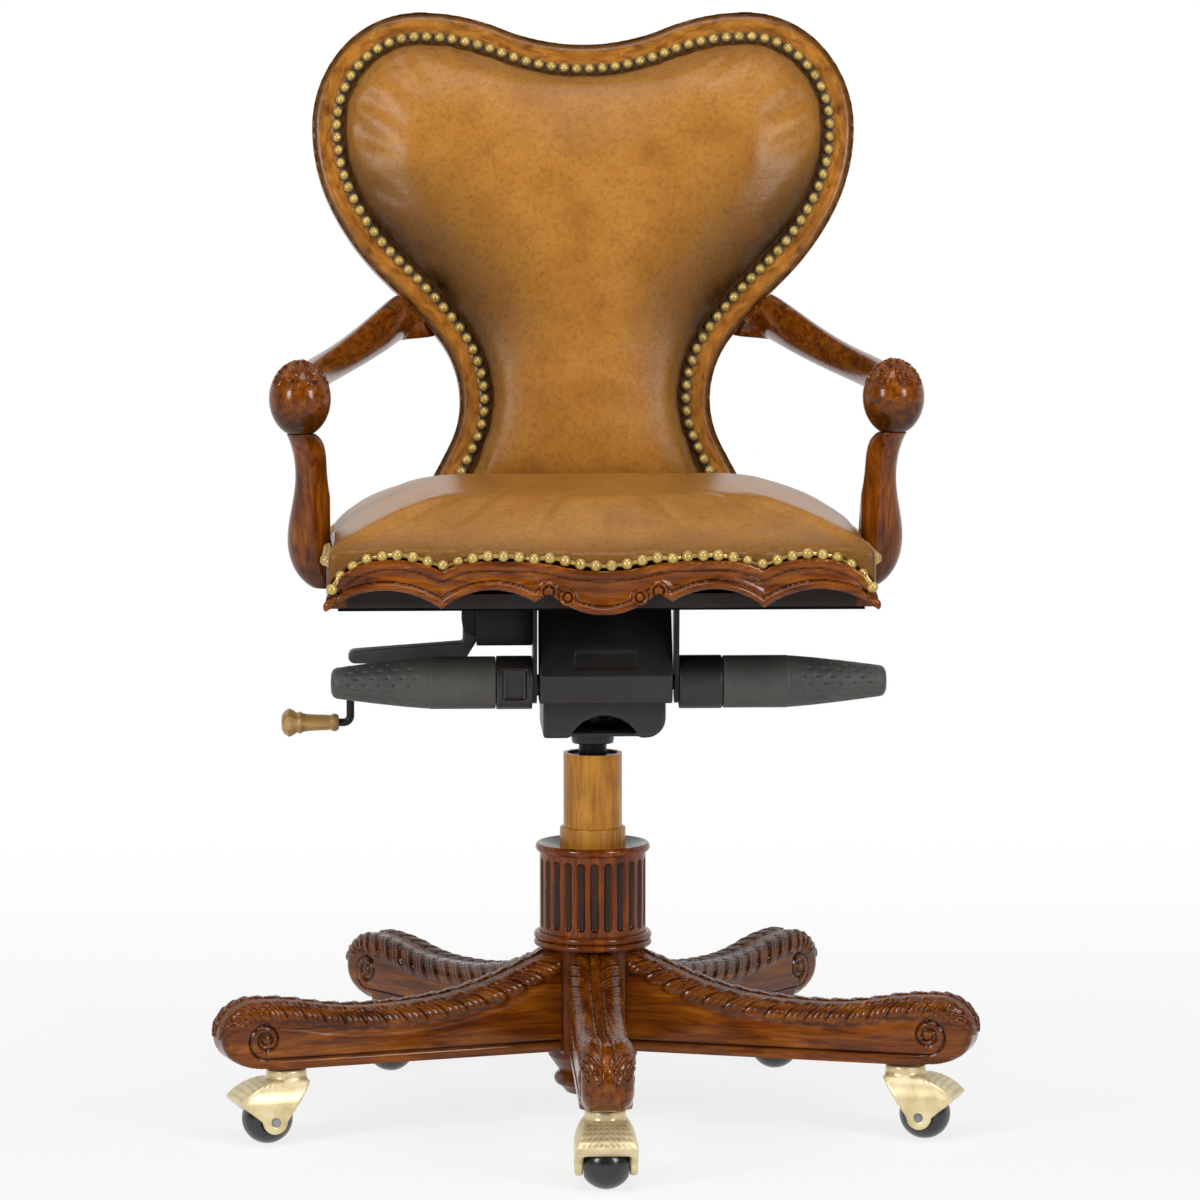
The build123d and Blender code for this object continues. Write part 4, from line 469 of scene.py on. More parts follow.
# Hub, turned pendant and fluted drum: walnut, glued up round the gas column. The drum's flutes
# and beads were cut on the lathe bed, and the colour darkens with the depth of each flute.
UPRIGHT = (0.0, math.radians(90), 0.0)
turned_walnut = walnut("walnut_turned_lacquered", ("#431c03", "#6e3205", "#8e4908"), "#140701", (0.16, 0.28), UPRIGHT)
paint(turned_walnut, "hub", "pendant")

drum_walnut = walnut("walnut_fluted_lacquered", ("#4c2003", "#7a3705", "#a0560a"), "#120601", (0.13, 0.24), UPRIGHT)
tree = drum_walnut.node_tree
spot = add(tree, "TexCoord").outputs["Object"]
parts = add(tree, "SeparateXYZ", links={"Vector": spot})
level = add(tree, "CombineXYZ", links={"X": parts.outputs["X"], "Y": parts.outputs["Y"]})
radius = add(tree, "VectorMath", links={0: level.outputs["Vector"]}, operation="LENGTH")
flute = add(
    tree,
    "MapRange",
    {"From Min": 0.0532, "From Max": 0.0508, "To Min": 0.0, "To Max": 0.9},
    {"Value": radius.outputs["Value"]},
)
darken(drum_walnut, "#160a05", flute.outputs["Result"])
paint(drum_walnut, "fluted_drum")

# Column sleeve and its ring: golden walnut turned from the solid, slid over the gas tube.
# The stain was wiped thin on them, so they are much lighter than the drum.
golden_walnut = walnut(
    "walnut_golden_wiped", ("#8f5a1c", "#b17224", "#c5872f", "#d0983e"), "#5a330d", (0.24, 0.36), UPRIGHT
)
paint(golden_walnut, "column_sleeve", "sleeve_ring")

# Gas column: a black enamelled tube with a nylon bush, a blacked steel cylinder, and below it
# the bright piston rod on its thrust bearing. Only the cylinder's end shows over the sleeve.
black_enamel = worn(
    "black_stove_enamel", 0.03, 0.0009, ("#0a0a0b", "#101011", "#161617"), (0.3, 0.5), 0.00004,
    IOR=1.5, Specular_IOR_Level=0.3,
)
paint(black_enamel, "gas_column", "seat_bracket", "lever_pin", "tilt_axle")
blacked_steel = worn(
    "oxide_blacked_steel", 0.02, 0.0008, ("#0e0e0f", "#171718", "#202022"), (0.3, 0.42), 0.00002, Metallic=0.8
)
paint(blacked_steel, "gas_cylinder")
paint(bright_steel, "piston_rod", "release_button", "thrust_bearing", "bracket_bolts")

# Tilt housing, front cover, collars and bush: charcoal glass-filled nylon, injection moulded in
# a spark-eroded die, which leaves a fine even grain. The cover's badge recess is left bare.
nylon = worn(
    "charcoal_nylon_moulded", 0.05, 0.0011, ("#15120f", "#1d1916", "#26221e"), (0.36, 0.5), 0.00009, IOR=1.53
)
paint(nylon, "column_bush")

for name, voxel, passes in (("tilt_housing", 0.0022, 3), ("front_cover", 0.0014, 3), ("axle_collars", 0.0013, 3)):
    moulding = soften(name + "_moulding", name, voxel, passes)
    dress(moulding, nylon, "tilt_base", "black_plastic", name)
moulded_rubber = worn(
    "rubber_moulded", 0.02, 0.001, ("#111111", "#1a1a1a", "#242424"), (0.6, 0.8), 0.00008, IOR=1.5
)
paint(moulded_rubber, "torsion_rubbers")

# Hand grips: charcoal nylon sleeves on the ends of the tilt axle. The barrel is plain and the
# taper carries staggered lens-shaped dimples that were cut into the mould.
def weld(piece):
    """Join the points of a piece that touch and turn its faces outward."""
    shape = bmesh.new()
    shape.from_mesh(piece.data)
    bmesh.ops.remove_doubles(shape, verts=shape.verts, dist=1e-6)
    bmesh.ops.recalc_face_normals(shape, faces=shape.faces)
    shape.to_mesh(piece.data)
    shape.free()


soft_nylon = worn(
    "grey_nylon_soft_touch", 0.05, 0.0011, ("#3a3835", "#454340", "#4f4d48"), (0.45, 0.58), 0.00008, IOR=1.5
)
AXLE = Vector((0, -0.095, 0.458))
GRIP_PROFILE = [
    (0.0, 0.0100), (0.0, 0.0252), (0.0008, 0.0260), (0.0640, 0.0260), (0.0652, 0.0254), (0.0664, 0.0256),
    (0.090, 0.0236), (0.120, 0.0202), (0.150, 0.0163), (0.1570, 0.0153), (0.1600, 0.0138), (0.1622, 0.0095),
    (0.1628, 0.0),
]
DIMPLE = (0.0072, 0.0028)
DIMPLE_PITCH = 0.0148
DIMPLE_DEPTH = 0.0015
DIMPLES_ROUND = 9
DIMPLED = (0.078, 0.151)
for name, start, outward, body in (
    ("grip_left", -0.0997, -1, "left_grip"),
    ("grip_right", 0.1247, 1, "right_grip"),
):
    bpy.ops.mesh.primitive_grid_add(x_subdivisions=170, y_subdivisions=112, size=1.0)
    grip = bpy.context.object
    grip.name = name + "_dimpled"
    spots, _ = points_of(grip)
    profile = np.array(GRIP_PROFILE)
    run = lengths(profile)
    share = (spots[:, 0] + 0.5) * run[-1]
    turn = (spots[:, 1] + 0.5) * 2 * np.pi
    length = np.interp(share, run, profile[:, 0])
    radius = np.interp(share, run, profile[:, 1])
    row = np.round((length - DIMPLED[0]) / (DIMPLE_PITCH / 2))
    shift = turn / (2 * np.pi) * DIMPLES_ROUND + 0.5 * (row % 2)
    off_x = (length - DIMPLED[0] - row * DIMPLE_PITCH / 2) / (DIMPLE[0] / 2)
    off_y = (shift - np.round(shift)) / DIMPLES_ROUND * 2 * np.pi * radius / (DIMPLE[1] / 2)
    lens = np.clip(1 - off_x**2 - off_y**2, 0, 1) * (length > DIMPLED[0]) * (length < DIMPLED[1])
    radius = radius - DIMPLE_DEPTH * lens
    spots = np.stack(
        [start + outward * length, AXLE.y + radius * np.cos(turn), AXLE.z + radius * np.sin(turn)], axis=1
    )
    put_points(grip, spots)
    weld(grip)
    dress(grip, soft_nylon, body, "black_plastic", name)

# Side plate of the seat bracket: a pressed steel web between the lever's hanger and the bracket's
# cheek, stove enamelled like the bracket.
bpy.ops.mesh.primitive_cube_add(size=1.0)
web = bpy.context.object
web.name = "bracket_side_plate"
web.data.transform(Matrix.Translation((-0.0905, -0.0725, 0.5165)) @ Matrix.Diagonal((0.055, 0.003, 0.049, 1)))
work(web, "BEVEL", width=0.0012, segments=3)
dress(web, black_enamel, "seat", "black_steel")

# Lift lever and tension crank: a moulded nylon paddle on a pin under the seat bracket, and a
# bent black rod with a turned golden knob that spins on its end.
lever = soften("lift_lever_moulding", "lift_lever", 0.0012, 12)
dress(lever, soft_nylon, "lever", "black_plastic", "lift_lever")
paint(black_enamel, "crank_rod")
ALONG_X = (0.0, 0.0, 0.0)
knob_walnut = walnut("walnut_golden_knob", ("#8f6a38", "#b38d54", "#c9a970"), "#5c4220", (0.22, 0.34), ALONG_X)
KNOB_MOUTH = (-0.2546, 0.025, 0.403)
KNOB_PROFILE = (
    (0.0435, 0.0), (0.0435, 0.0043), (0.0, 0.0043), (0.0, 0.0068), (0.0015, 0.0082), (0.0040, 0.0090),
    (0.0065, 0.0088), (0.0078, 0.0076), (0.0090, 0.0074), (0.0120, 0.0078), (0.0220, 0.0081), (0.0320, 0.0088),
    (0.0365, 0.0096), (0.0375, 0.0108), (0.0395, 0.0112), (0.0412, 0.0104), (0.0425, 0.0102), (0.0460, 0.0128),
    (0.0495, 0.0143), (0.0515, 0.0142), (0.0525, 0.0128), (0.0545, 0.0118), (0.0572, 0.0080), (0.0580, 0.0),
)
knob = new_piece("crank_knob_turned")
knob.data.from_pydata([(-x, r, 0) for x, r in KNOB_PROFILE], [(i, i + 1) for i in range(len(KNOB_PROFILE) - 1)], [])
work(knob, "SCREW", axis="X", steps=64, render_steps=64)
weld(knob)
knob.data.transform(Matrix.Translation(KNOB_MOUTH))
dress(knob, knob_walnut, "knob", "walnut_light", "crank_knob")

# Seat frame inside: birch plywood board, glued corner blocks and a black cambric dust cover
# stapled underneath. None of it shows from above.
birch = worn(
    "birch_plywood_stained", 0.06, 0.003, ("#120d09", "#19120c", "#221910"), (0.6, 0.75), 0.0001, IOR=1.5
)
paint(birch, "seat_board", "corner_blocks")
cambric = worn(
    "cambric_black_nonwoven", 0.03, 0.0012, ("#060606", "#0a0a0a", "#0e0e0e"), (0.85, 0.95), 0.00015,
    IOR=1.45, Specular_IOR_Level=0.1,
)
paint(cambric, "dust_cover")

# Side and back rails: plain walnut, planed with eased arrises, dowelled into the front rail and
# lacquered. The grain runs front to back.
ALONG_Y = (0.0, 0.0, math.radians(-90))
rail_walnut = walnut("walnut_rail_lacquered", ("#431c03", "#6e3205", "#8e4908"), "#140701", (0.18, 0.3), ALONG_Y)
for name in ("side_rail_left", "side_rail_right", "back_rail"):
    rail = soften(name + "_eased", name, 0.003, 2)
    spots, _ = points_of(rail)
    # Painted shade darkens the inner front ends of the side rails, behind the apron.
    put_values(rail, "wax_and_shade", step(0.25, 0.245, np.abs(spots[:, 0])) * step(-0.2, -0.21, spots[:, 1]))
    dress(rail, rail_walnut, "seat", "walnut", name)

# Front rail: a serpentine walnut apron with a bead along its lower edge, a fillet under the
# nails and two small buttons on each side of the middle lobe, all cut by hand.
RAIL_BOTTOM = 0.548
CREST = [((0, 0.041), 0), ((0.080, 0.050), 0), ((0.155, 0.039), -30)]
CREST_OUTER = [((0.155, 0.039), 30), ((0.203, 0.050), 0), ((0.267, 0.008), -78)]
SEAT_FRONT_PLAN = [((0, -0.288), 0), ((0.150, -0.268), 10), ((0.267, -0.254), 0)]
VOLUTES = ((0.0525, 0.5695, 0.0074), (0.0345, 0.5640, 0.0064))


def through(start, middle, end, count):
    """Points on the arc from start through middle to end."""
    a, b, c = (np.array(p) for p in (start, middle, end))
    m = np.array([2 * (b - a), 2 * (c - a)])
    centre = np.linalg.solve(m, [b @ b - a @ a, c @ c - a @ a])
    angles = [math.atan2(*(p - centre)[::-1]) for p in (a, b, c)]
    low, _, high = np.unwrap(angles)
    turns = np.linspace(low, high, count)
    size = np.hypot(*(a - centre))
    return centre + size * np.stack([np.cos(turns), np.sin(turns)], axis=1)


lower = np.concatenate([
    through((-0.052, 0.021), (0, -0.001), (0.052, 0.021), 121)[60:],
    np.linspace((0.052, 0.021), (0.066, 0.011), 18),
    through((0.066, 0.011), (0.112, 0.022), (0.155, 0.003), 90),
    through((0.155, 0.003), (0.206, 0.020), (0.267, -0.001), 110),
])
upper = np.concatenate([arcs(CREST, 0.001), arcs(CREST_OUTER, 0.001)])
apron = soften("front_rail_carved", "front_rail", 0.0013, 8)
spots, normals = points_of(apron)
flat = np.stack([np.abs(spots[:, 0]), spots[:, 2] - RAIL_BOTTOM], axis=1)
to_lower, _ = near(flat, lower)
to_upper, _ = near(flat, upper)
face = step(0.35, 0.75, -normals[:, 1])
bead = half_round((to_lower - 0.0038) / 0.0034)
quirk = step(0.0016, 0.0, np.abs(to_lower - 0.0086))
fillet = step(0.0085, 0.0070, to_upper)
line = step(0.0014, 0.0, np.abs(to_upper - 0.0094))
coved = step(0.0086, 0.016, to_lower) * step(0.0094, 0.016, to_upper)
carving = 0.0026 * bead - 0.0016 * quirk + 0.0008 * fillet - 0.0012 * line - 0.0012 * coved
hollows = np.clip(0.8 * quirk + 0.7 * line + 0.1 * coved, 0, 1)
for x, z, size in VOLUTES:
    spin = np.hypot(flat[:, 0] - x, flat[:, 1] - (z - RAIL_BOTTOM))
    button = half_round(spin / (0.62 * size))
    ring = step(0.0012, 0.0, np.abs(spin - 0.72 * size))
    collar = half_round((spin - 1.02 * size) / (0.26 * size))
    inside = step(1.3 * size, 1.2 * size, spin)
    carving = np.where(inside > 0.01, inside * (0.0030 * button + 0.0022 * collar - 0.0010 * ring), carving)
    hollows = np.where(inside > 0.01, 0.9 * ring + 0.8 * (spin > 1.2 * size), hollows)
spots += normals * (carving * face)[:, None]
put_points(apron, spots)
put_values(apron, "wax_and_shade", hollows * face)
put_values(apron, "grain", spots)
dress(apron, carved_walnut, "seat", "walnut", "front_rail")

# Seat pad: tan hide stretched over foam and nailed to the rails all round. The hide was dyed,
# antiqued by hand towards its edges and polished, and it puckers a little at the nails. Painted
# shade darkens the lower part of its roll.
leather, tree, shader = new_material("hide_tan_antiqued", IOR=1.48, Specular_IOR_Level=0.2)
spot = add(tree, "TexCoord").outputs["Object"]
# Dye takes in clouds of about 50 mm, with a dark mottle of about 5 mm.
cloud = add(tree, "TexNoise", {"Scale": 19.0, "Detail": 6.0, "Roughness": 0.65}, {"Vector": spot})
tint = add(
    tree,
    "ValToRGB",
    links={"Fac": cloud.outputs["Fac"]},
    stops=((0.30, "#986529"), (0.5, "#aa722e"), (0.7, "#b57f38")),
)
mottle = add(tree, "TexNoise", {"Scale": 210.0, "Detail": 3.0}, {"Vector": spot})
fleck = add(tree, "MapRange", {"From Min": 0.46, "From Max": 0.7, "To Max": 0.36}, {"Value": mottle.outputs["Fac"]})
flecked = laid_over(tree, tint.outputs["Color"], "#6e431a", fleck.outputs["Result"])
# The antique mask lays a dark brown over the hide: antiquing at its edges, and painted shade where it turns down away
# from the lamps.
border = add(tree, "Attribute", attribute_name="antique")
uneven = add(tree, "MapRange", {"From Min": 0.3, "From Max": 0.7, "To Min": 0.75, "To Max": 1.15},
             {"Value": cloud.outputs["Fac"]})
antiqued_and_shaded = add(tree, "Math", links={0: border.outputs["Fac"], 1: uneven.outputs["Result"]}, operation="MULTIPLY",
             use_clamp=True)
tree.links.new(laid_over(tree, flecked, "#1c1003", antiqued_and_shaded.outputs["Value"]), shader.inputs["Base Color"])
polish = add(tree, "MapRange", {"To Min": 0.24, "To Max": 0.38}, {"Value": cloud.outputs["Fac"]})
tree.links.new(polish.outputs["Result"], shader.inputs["Roughness"])
# The hide's pebble is under a millimetre; it is drawn at 2 mm so that it shows.
pebble = add(tree, "TexVoronoi", {"Scale": 520.0}, {"Vector": spot})
bump = add(tree, "Bump", {"Strength": 0.35, "Distance": 0.00025}, {"Height": pebble.outputs["Distance"]})
crease = add(tree, "TexNoise", {"Scale": 55.0, "Detail": 4.0, "Distortion": 1.2}, {"Vector": spot})
bump = add(tree, "Bump", {"Strength": 0.35, "Distance": 0.0012},
           {"Height": crease.outputs["Fac"], "Normal": bump.outputs["Normal"]})
tree.links.new(bump.outputs["Normal"], shader.inputs["Normal"])


def stuff(name, source, voxel, cap, held):
    """Blow a CAD pad up as a sewn cover over foam: held(places) is 1 where it is nailed down."""
    pad = soften(name, source, voxel, 10)
    spots, _ = points_of(pad)
    pins = held(spots)
    group = pad.vertex_groups.new(name="nailed")
    for i, pin in enumerate(pins):
        group.add([i], float(pin), "REPLACE")
    cloth = pad.modifiers.new("hide", "CLOTH")
    cloth.settings.use_pressure = True
    cloth.settings.uniform_pressure_force = 4.0
    cloth.settings.effector_weights.gravity = 0.0
    cloth.settings.vertex_group_mass = "nailed"
    cloth.settings.tension_stiffness = cloth.settings.compression_stiffness = 25.0
    cloth.point_cache.frame_end = 20
    for moment in range(1, 21):
        bpy.context.scene.frame_set(moment)
    view = pad.evaluated_get(bpy.context.evaluated_depsgraph_get())
    swollen = np.empty(3 * len(view.data.vertices))
    view.data.vertices.foreach_get("co", swollen)
    swollen = swollen.reshape(-1, 3)
    pad.modifiers.remove(cloth)
    pad.vertex_groups.clear()
    bpy.context.scene.frame_set(1)
    move = swollen - spots
    far = np.linalg.norm(move, axis=1)
    spots = spots + move * (np.minimum(far, cap) / np.maximum(far, 1e-9))[:, None]
    put_points(pad, spots)
    work(pad, "SMOOTH", factor=0.5, iterations=6)
    work(pad, "SUBSURF", levels=1, render_levels=1)
    return pad


SEAT_SIDE_PLAN = [((0.267, -0.254), 95), ((0.262, -0.110), 90), ((0.262, -0.020), 90), ((0.212, 0.230), 113)]
front_plan = arcs(SEAT_FRONT_PLAN, 0.001)
side_plan = arcs(SEAT_SIDE_PLAN, 0.001)
seat_edge = np.concatenate([front_plan, side_plan])


def seat_nailed(spots):
    return np.maximum(step(0.612, 0.602, spots[:, 2]), step(0.168, 0.180, spots[:, 1]))


seat = stuff("seat_hide", "seat_pad", 0.0056, 0.006, seat_nailed)
spots, normals = points_of(seat)
mirrored = np.stack([np.abs(spots[:, 0]), spots[:, 1]], axis=1)
from_edge, index = near(mirrored, seat_edge)
# Puckers between the nails and a few long soft creases across the front.
run = lengths(seat_edge)[index]
pucker = np.cos(2 * np.pi * run / 0.0305) * step(0.03, 0.006, from_edge) * step(0.622, 0.604, spots[:, 2])
creases = np.zeros(len(spots))
for x, y, lean, long, deep in (
    (-0.05, -0.20, 0.35, 0.07, 0.0016), (-0.11, -0.17, 0.6, 0.06, 0.0012), (0.06, -0.19, -0.4, 0.06, 0.0013),
    (0.13, -0.16, -0.7, 0.05, 0.0012), (0.01, -0.23, 0.1, 0.04, 0.0012), (-0.19, -0.2, 0.9, 0.05, 0.0012),
    (0.20, -0.2, -0.9, 0.05, 0.0012),
):
    u = (spots[:, 0] - x) - lean * (spots[:, 1] - y)
    v = spots[:, 1] - y
    creases -= deep * np.exp(-((u / 0.006) ** 2) - (v / long) ** 2)
spots += normals * (0.0004 * pucker + creases * step(0.2, 0.6, normals[:, 2]))[:, None]
put_points(seat, spots)
# antique: painted shade on the lower part of the front and side roll, where it turns down away from the lamps, and a
# little antiquing along the nailed edge.
low = step(0.632, 0.596, spots[:, 2])
put_values(seat, "antique", np.clip(0.5 * low**1.5 + 0.15 * step(0.05, 0.0, from_edge), 0, 0.7))
dress(seat, leather, "seat", "leather", "seat_pad")

# Seat nails: close-set antique brass domes, stamped from sheet and driven along the rails' crest
# through a narrow brass strip that holds the hide's edge.
nail_brass = worn(
    "brass_nail_antiqued", 0.007, 0.0012, ("#9a803f", "#b99c55", "#ccb169"), (0.24, 0.36), 0.00006,
    Metallic=0.35, Specular_IOR_Level=0.6,
)


def spread(line, gap):
    """Points an even gap apart along a line of points, with its direction at each."""
    run = lengths(line)
    count = max(1, round(run[-1] / gap))
    marks = (np.arange(count) + 0.5) * run[-1] / count
    places = np.stack([np.interp(marks, run, line[:, k]) for k in range(line.shape[1])], axis=1)
    ahead = np.stack([np.interp(marks + 0.001, run, line[:, k]) for k in range(line.shape[1])], axis=1) - places
    return places, ahead / np.maximum(np.linalg.norm(ahead, axis=1), 1e-9)[:, None]


def surface(*pieces):
    """A search tree over the faces of finished pieces."""
    vertices, faces = [], []
    for piece in pieces:
        start = len(vertices)
        vertices += [v.co.copy() for v in piece.data.vertices]
        faces += [[start + i for i in p.vertices] for p in piece.data.polygons]
    return BVHTree.FromPolygons(vertices, faces)


def land(target, place, direction):
    """Where a place meets the target along a direction, and the target's normal there."""
    hit, normal, _, _ = target.ray_cast(Vector(place) + direction * 0.04, -direction, 0.08)
    return (Vector(place), direction) if hit is None else (hit, normal)


NAIL_STAND = 0.002


def drive_nails(name, spots, facing, target, radius, body):
    """Domed nails at spots, each pressed on the target along its facing direction."""
    bpy.ops.mesh.primitive_uv_sphere_add(segments=12, ring_count=8, radius=radius)
    first = bpy.context.object
    bpy.ops.object.mode_set(mode="EDIT")
    bpy.ops.mesh.select_all(action="SELECT")
    bpy.ops.mesh.bisect(plane_co=(0, 0, -0.35 * radius), plane_no=(0, 0, -1), clear_outer=True, use_fill=True)
    bpy.ops.object.mode_set(mode="OBJECT")
    dome = first.data
    dome.transform(Matrix.Diagonal((1, 1, 0.9, 1)))
    heads = bmesh.new()
    for place, direction in zip(spots, facing):
        direction = Vector(direction).normalized()
        base, normal = land(target, place, direction)
        seat_at = base + direction * NAIL_STAND
        axis = (normal * 0.5 + direction * 0.5).normalized()
        head = dome.copy()
        head.transform(Matrix.Translation(seat_at) @ axis.to_track_quat("Z", "Y").to_matrix().to_4x4())
        heads.from_mesh(head)
        bpy.data.meshes.remove(head)
    first.name = name
    heads.to_mesh(first.data)
    heads.free()
    return dress(first, nail_brass, body, "brass")


def lay_strip(name, spots, facing, target, half, thick, material, slot, body):
    """A narrow strip laid along spots on the target, with a rounded face."""
    shape = bmesh.new()
    rows = []
    for i, (place, direction) in enumerate(zip(spots, facing)):
        direction = Vector(direction).normalized()
        base, _ = land(target, place, direction)
        ahead = (Vector(spots[min(i + 1, len(spots) - 1)]) - Vector(spots[max(i - 1, 0)])).normalized()
        aside = direction.cross(ahead).normalized()
        row = []
        for share, lift in ((-1, -0.5), (-1, 0.5), (-0.5, 1), (0.5, 1), (1, 0.5), (1, -0.5)):
            row.append(shape.verts.new(base + aside * half * share + direction * thick * lift))
        rows.append(row)
    for a, b in zip(rows, rows[1:]):
        for k in range(6):
            shape.faces.new((a[k], a[(k + 1) % 6], b[(k + 1) % 6], b[k]))
    shape.faces.new(rows[0])
    shape.faces.new(rows[-1][::-1])
    bmesh.ops.recalc_face_normals(shape, faces=shape.faces)
    strip = new_piece(name)
    shape.to_mesh(strip.data)
    shape.free()
    return dress(strip, material, body, slot)


SEAT_NAIL = 0.0056
SEAT_NAIL_PITCH = 0.0152
SIDE_NAIL_HEIGHT = 0.594
NAIL_WAVE = [
    (0.0, 0.594), (0.020, 0.5955), (0.051, 0.602), (0.067, 0.600), (0.085, 0.6025), (0.109, 0.603), (0.132, 0.599),
    (0.155, 0.592), (0.175, 0.599), (0.198, 0.603), (0.225, 0.599), (0.240, 0.592), (0.250, 0.585), (0.259, 0.573),
    (0.265, 0.560),
]
wave = np.array(NAIL_WAVE)
half_x = np.linspace(0, 0.265, 266)
half_z = np.interp(half_x, wave[:, 0], wave[:, 1])
half_z = np.convolve(np.pad(half_z, 6, "edge"), np.ones(13) / 13, "valid")
half_y = np.interp(half_x, front_plan[:, 0], front_plan[:, 1])
right = np.stack([half_x, half_y, half_z], axis=1)
left = right[::-1] * (-1, 1, 1)
front_line = np.concatenate([left[:-1], right])
side_run = lengths(side_plan)
side_line = np.column_stack([side_plan, np.full(len(side_plan), SIDE_NAIL_HEIGHT)])
side_line = side_line[(side_line[:, 1] < 0.186) & (side_run > 0.008)]
seat_shell = surface(seat, apron, bpy.data.objects["side_rail_left_eased"], bpy.data.objects["side_rail_right_eased"])
nail_spots, nail_faces = [], []
places, ahead = spread(front_line, SEAT_NAIL_PITCH)
nail_spots += list(places)
nail_faces += [(d[1], -d[0], 0.0) for d in ahead]
lines = [(front_line, [(t[1], -t[0], 0.0) for t in np.gradient(front_line, axis=0)])]
POST = (-0.104, -0.040)
for sign in (1, -1):
    flipped = side_line * (sign, 1, 1)
    places, ahead = spread(flipped, SEAT_NAIL_PITCH)
    for place, way in zip(places, ahead):
        if not POST[0] < place[1] < POST[1]:
            nail_spots.append(place)
            nail_faces.append((sign * way[1], -sign * way[0], 0.0))
    for keep in (flipped[:, 1] < POST[0], flipped[:, 1] > POST[1]):
        part = flipped[keep]
        lines.append((part, [(sign * t[1], -sign * t[0], 0.0) for t in np.gradient(part, axis=0)]))
drive_nails("seat_nails", nail_spots, nail_faces, seat_shell, SEAT_NAIL, "seat")
for number, (part, faces) in enumerate(lines):
    lay_strip(f"seat_gimp_{number}", part[::3], faces[::3], seat_shell, 0.002, 0.0011, nail_brass, "brass", "seat")

# Back frame: a waisted, heart-topped walnut frame with an eased outer edge and a flat golden
# band, dowelled to the back rail. It is light on the face and darker on its eased outer edge, by
# the nail channel and on its sides.
BACK_FOOT = Vector((0, 0.195, 0.632))
RECLINE = math.radians(9)
BACK_KNOTS = [
    ((0, 0.4495), 0), ((0.169, 0.483), 0), ((0.280, 0.364), -90), ((0.206, 0.205), -136), ((0.129, 0.081), -90),
]
up = np.array([0, math.sin(RECLINE), math.cos(RECLINE)])
out = np.array([0, -math.cos(RECLINE), math.sin(RECLINE)])


def back_line(amount, foot):
    """Right half of the back's outline drawn in by an amount, down to the given height."""
    flare = (0.081 - foot) / 0.081
    knots = [
        ((x + amount * math.sin(math.radians(h)), y - amount * math.cos(math.radians(h))), h)
        for (x, y), h in BACK_KNOTS
    ]
    knots.append(((0.129 + 0.029 * flare**2 - amount, foot), -90 + 28 * flare))
    return arcs(knots, 0.001)


def on_back(flat, lift=0.0):
    """Points in space of points drawn on the back's face."""
    flat = np.asarray(flat)
    return np.array(BACK_FOOT) + flat[:, :1] * (1, 0, 0) + flat[:, 1:] * up + lift * out


def off_back(spots):
    """Half width, height and depth of points on the back."""
    from_foot = spots - np.array(BACK_FOOT)
    return np.stack([np.abs(from_foot[:, 0]), from_foot @ up], axis=1), from_foot @ out


outline = back_line(0, -0.005)
back = soften("back_frame_eased", "back_frame", 0.0021, 8)
spots, normals = points_of(back)
flat, lift = off_back(spots)
inset, index = near(flat, outline)
face = step(0.4, 0.8, normals @ out)
rear = step(0.4, 0.8, -(normals @ out))
edge_fall = np.clip(1 - inset / 0.009, 0, 1)
spots += out * (-0.0045 * edge_fall**2 * face)[:, None] + out * (0.004 * edge_fall**2 * rear)[:, None]
channel = step(0.021, 0.023, inset) * face
spots -= out * (0.0015 * channel)[:, None]
put_points(back, spots)
rim = np.maximum(0.75 * step(0.010, 0.002, inset), 0.8 * step(0.019, 0.024, inset)) * face
rim = np.maximum(rim, 0.62 * (1 - face))
put_values(back, "wax_and_shade", rim)
put_values(back, "grain", np.stack([lengths(outline)[index], inset, lift], axis=1))
golden_frame = walnut(
    "walnut_golden_veneer", ("#6a3a0c", "#93591a", "#b07328", "#bf8434"), "#271203", (0.22, 0.36), None, 55.0
)
dress(back, golden_frame, "seat", "walnut_light", "back_frame")

# Outside back: a thin plywood panel covered in the same hide, let into the frame from behind.
# It is dished a little, and the hide is antiqued along its edge.
outside_hide = leather.copy()
outside_hide.name = "hide_tan_outside_back"
panel = soften("outside_back_panel", "back_panel", 0.004, 3)
spots, normals = points_of(panel)
flat, lift = off_back(spots)
inset, _ = near(flat, back_line(0.045, 0.016))
spots -= out * (0.004 * step(0.0, 0.06, inset) * step(0.4, 0.8, -(normals @ out)))[:, None]
put_points(panel, spots)
put_values(panel, "antique", np.clip(0.7 * step(0.06, 0.0, inset), 0, 0.9))
dress(panel, outside_hide, "seat", "leather", "back_panel")

# Back pad: the same hide over foam, nailed to the frame's face all round and left open where
# it runs down behind the seat. It is antiqued along its edges, and painted shade makes it darkest
# along the flanks and the waist, where its edge turns down.
BACK_PAD_LINE = back_line(0.027, 0.004)


def back_nailed(spots):
    flat, lift = off_back(spots)
    return np.maximum(step(0.006, 0.002, lift), step(0.014, 0.006, flat[:, 1]))


backrest = stuff("back_hide", "back_pad", 0.0054, 0.006, back_nailed)
spots, normals = points_of(backrest)
flat, lift = off_back(spots)
inset, index = near(flat, BACK_PAD_LINE)
ahead = headings(BACK_PAD_LINE)
down = np.clip(-np.array([-ahead[:, 1], ahead[:, 0]]).T[index][:, 1], -1, 1)
shade = 0.4 + 0.6 * step(-0.1, 0.7, down)
pucker = np.cos(2 * np.pi * lengths(BACK_PAD_LINE)[index] / 0.0286) * step(0.035, 0.006, inset)
